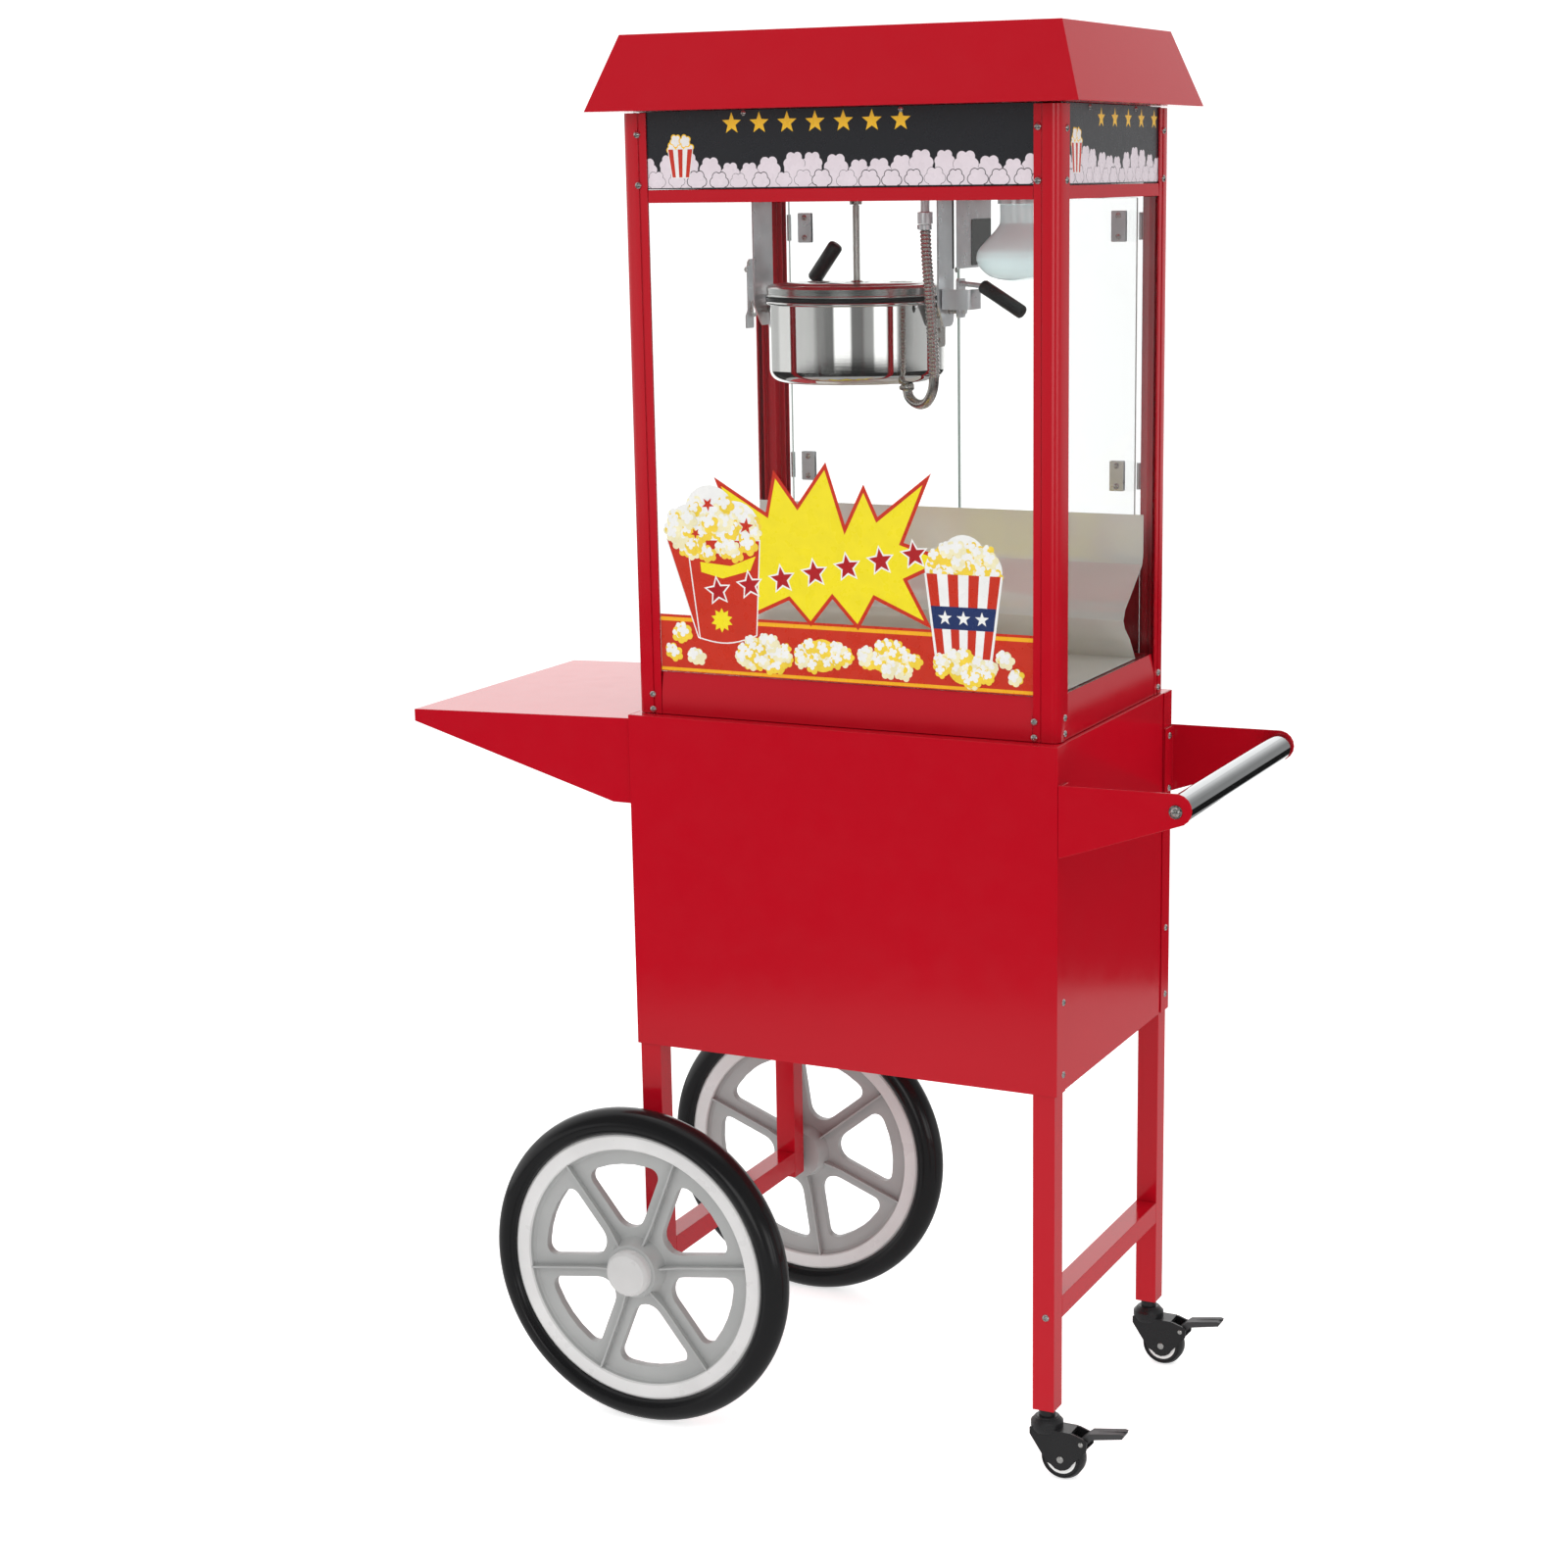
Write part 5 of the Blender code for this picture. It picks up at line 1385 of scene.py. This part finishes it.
BURST = (
    (-0.15, 1.086), (-0.118, 1.012), (-0.152, 0.97), (-0.104, 0.972), (-0.112, 0.933),
    (-0.062, 0.956), (-0.036, 0.929), (-0.01, 0.96), (0.02, 0.928), (0.04, 0.962),
    (0.106, 0.934), (0.078, 0.984), (0.128, 1.008), (0.074, 1.024), (0.106, 1.098),
    (0.044, 1.05), (0.028, 1.084), (0.006, 1.04), (-0.016, 1.106), (-0.05, 1.06),
    (-0.078, 1.096), (-0.088, 1.05),
)


def make_bucket(sheet, chance):
    """A red popcorn bucket with a curved foot, white piping and a small star."""
    left_top, left_low, right_low, right_top = (
        (-0.211, 1.017), (-0.174, 0.909), (-0.101, 0.915), (-0.095, 1.02))
    foot = [(left_low[0] + (right_low[0] - left_low[0]) * t,
             left_low[1] + (right_low[1] - left_low[1]) * t - 0.0075 * math.sin(math.pi * t))
            for t in (k / 10 for k in range(11))]
    body = [left_top] + foot + [right_top]
    for du, dv, r in ((-0.028, 0.002, 0.03), (0.026, 0.006, 0.031), (-0.004, 0.022, 0.031)):
        sheet.add(INK_WHITE, disc(-0.152 + du, 1.024 + dv, r))
    sheet.add(INK_WHITE, body)
    sheet.add(INK_RED, inset(body, 0.0014))
    fold = [(-0.1856, 1.015), (-0.172, 0.908), (-0.1706, 0.908), (-0.1842, 1.015)]
    sheet.add(INK_WHITE, fold)
    sheet.add(INK_YELLOW, [(-0.168, 0.982), (-0.142, 0.976), (-0.108, 0.986),
                           (-0.101, 1.002), (-0.132, 0.99), (-0.169, 0.993)])
    sheet.add(INK_YELLOW, star(-0.144, 0.93, 0.0135, 0.0088, 10))
    popcorn_heap(sheet, chance, -0.152, 1.029, 0.052, 0.03, 0.0098, 60)
    for u, v, r in ((-0.158, 1.056, 0.0078), (-0.112, 1.034, 0.0094), (-0.174, 1.024, 0.006)):
        sheet.add(INK_RED, star(u, v, r, r * 0.4, 5, 1.2 + u * 9))


def make_front_print():
    """A red band, a starburst, a bucket, a cup, a row of stars and heaps of popcorn."""
    chance = random.Random(11)
    half = WINDOW_X - 0.0004
    low, band = SILL + 0.0004, 0.9335
    sheet = Print("front_pane_print", front_plane(GLASS_Y, CART_X), (-half, low, half, low + 0.25))
    sheet.add(INK_RED, rectangle(-half, low, half, band))
    sheet.add(INK_AMBER, rectangle(-half, band - 0.0072, half, band - 0.003))
    sheet.add(INK_AMBER, rectangle(-half, low + 0.001, half, low + 0.0046))
    sheet.add(INK_RED, BURST)
    sheet.add(INK_YELLOW, inset(BURST, 0.004))
    make_bucket(sheet, chance)

    cup_u, cup_v, tall = 0.142, 0.905, 0.088
    for du, dv, r in ((-0.02, 0.004, 0.024), (0.02, 0.004, 0.024), (0.0, 0.016, 0.026)):
        sheet.add(INK_WHITE, disc(cup_u + du, cup_v + tall + dv, r))
    popcorn_heap(sheet, chance, cup_u, cup_v + tall + 0.008, 0.038, 0.026, 0.0088, 40)
    striped_cup(sheet, cup_u, cup_v, 0.042, 0.03, tall, 7, INK_RED, INK_WHITE)
    belt = [(-0.0342, 0.03), (0.0342, 0.03), (0.0372, 0.054), (-0.0372, 0.054)]
    sheet.add(INK_NAVY, [(cup_u + u, cup_v + v) for u, v in belt])
    sheet.add(INK_WHITE, *(star(cup_u + du, cup_v + 0.0418, 0.0082, 0.0033, 5)
                           for du in (-0.021, 0.0, 0.021)))
    for k in range(7):
        u, v = -0.148 + 0.039 * k, 0.962 + 0.0083 * k
        sheet.add(INK_WHITE, star(u, v, 0.0172, 0.0082, 5, 1.72))
        sheet.add(INK_BRICK, star(u, v, 0.0138, 0.006, 5, 1.72))

    for u, v in ((-0.093, 0.897), (-0.023, 0.898), (0.056, 0.899), (0.142, 0.895)):
        sheet.add(INK_YOLK, disc(u, v, 0.018))
        popcorn_heap(sheet, chance, u, v, 0.031, 0.016, 0.0082, 30)
    for u, v, r in ((-0.195, 0.915, 0.01), (-0.205, 0.892, 0.008), (-0.178, 0.89, 0.0088),
                    (0.19, 0.908, 0.009), (0.201, 0.89, 0.008)):
        popcorn_heap(sheet, chance, u, v, 0.004, 0.004, r, 4)
    sheet.finish()


# Everything
make_camera()
make_conduit()
make_world()
make_floor()
make_lights()
painted(GLASS, "front_glass", "left_glass", "right_glass", "left_door", "right_door")
painted(BLACK, "heater_switch", "stirrer_switch", "lamp_switch")
painted(INK_BLACK, "front_sign", "left_sign", "right_sign")
make_sheet_metal()
make_screws()
make_push_handle()
for wheel_name, wheel_side, wheel_phase in (("front", -1, 8.5), ("rear", 1, 38.5)):
    make_big_wheel(wheel_name, wheel_side, wheel_phase)
    make_caster(wheel_name)
make_pot()
make_lids()
make_tilt_handle()
make_stirrer()
make_hanger_details()
make_lamp()
make_doors()
make_rear_trim()
make_signs()
make_front_print()

bpy.context.scene.view_settings.view_transform = "Standard"
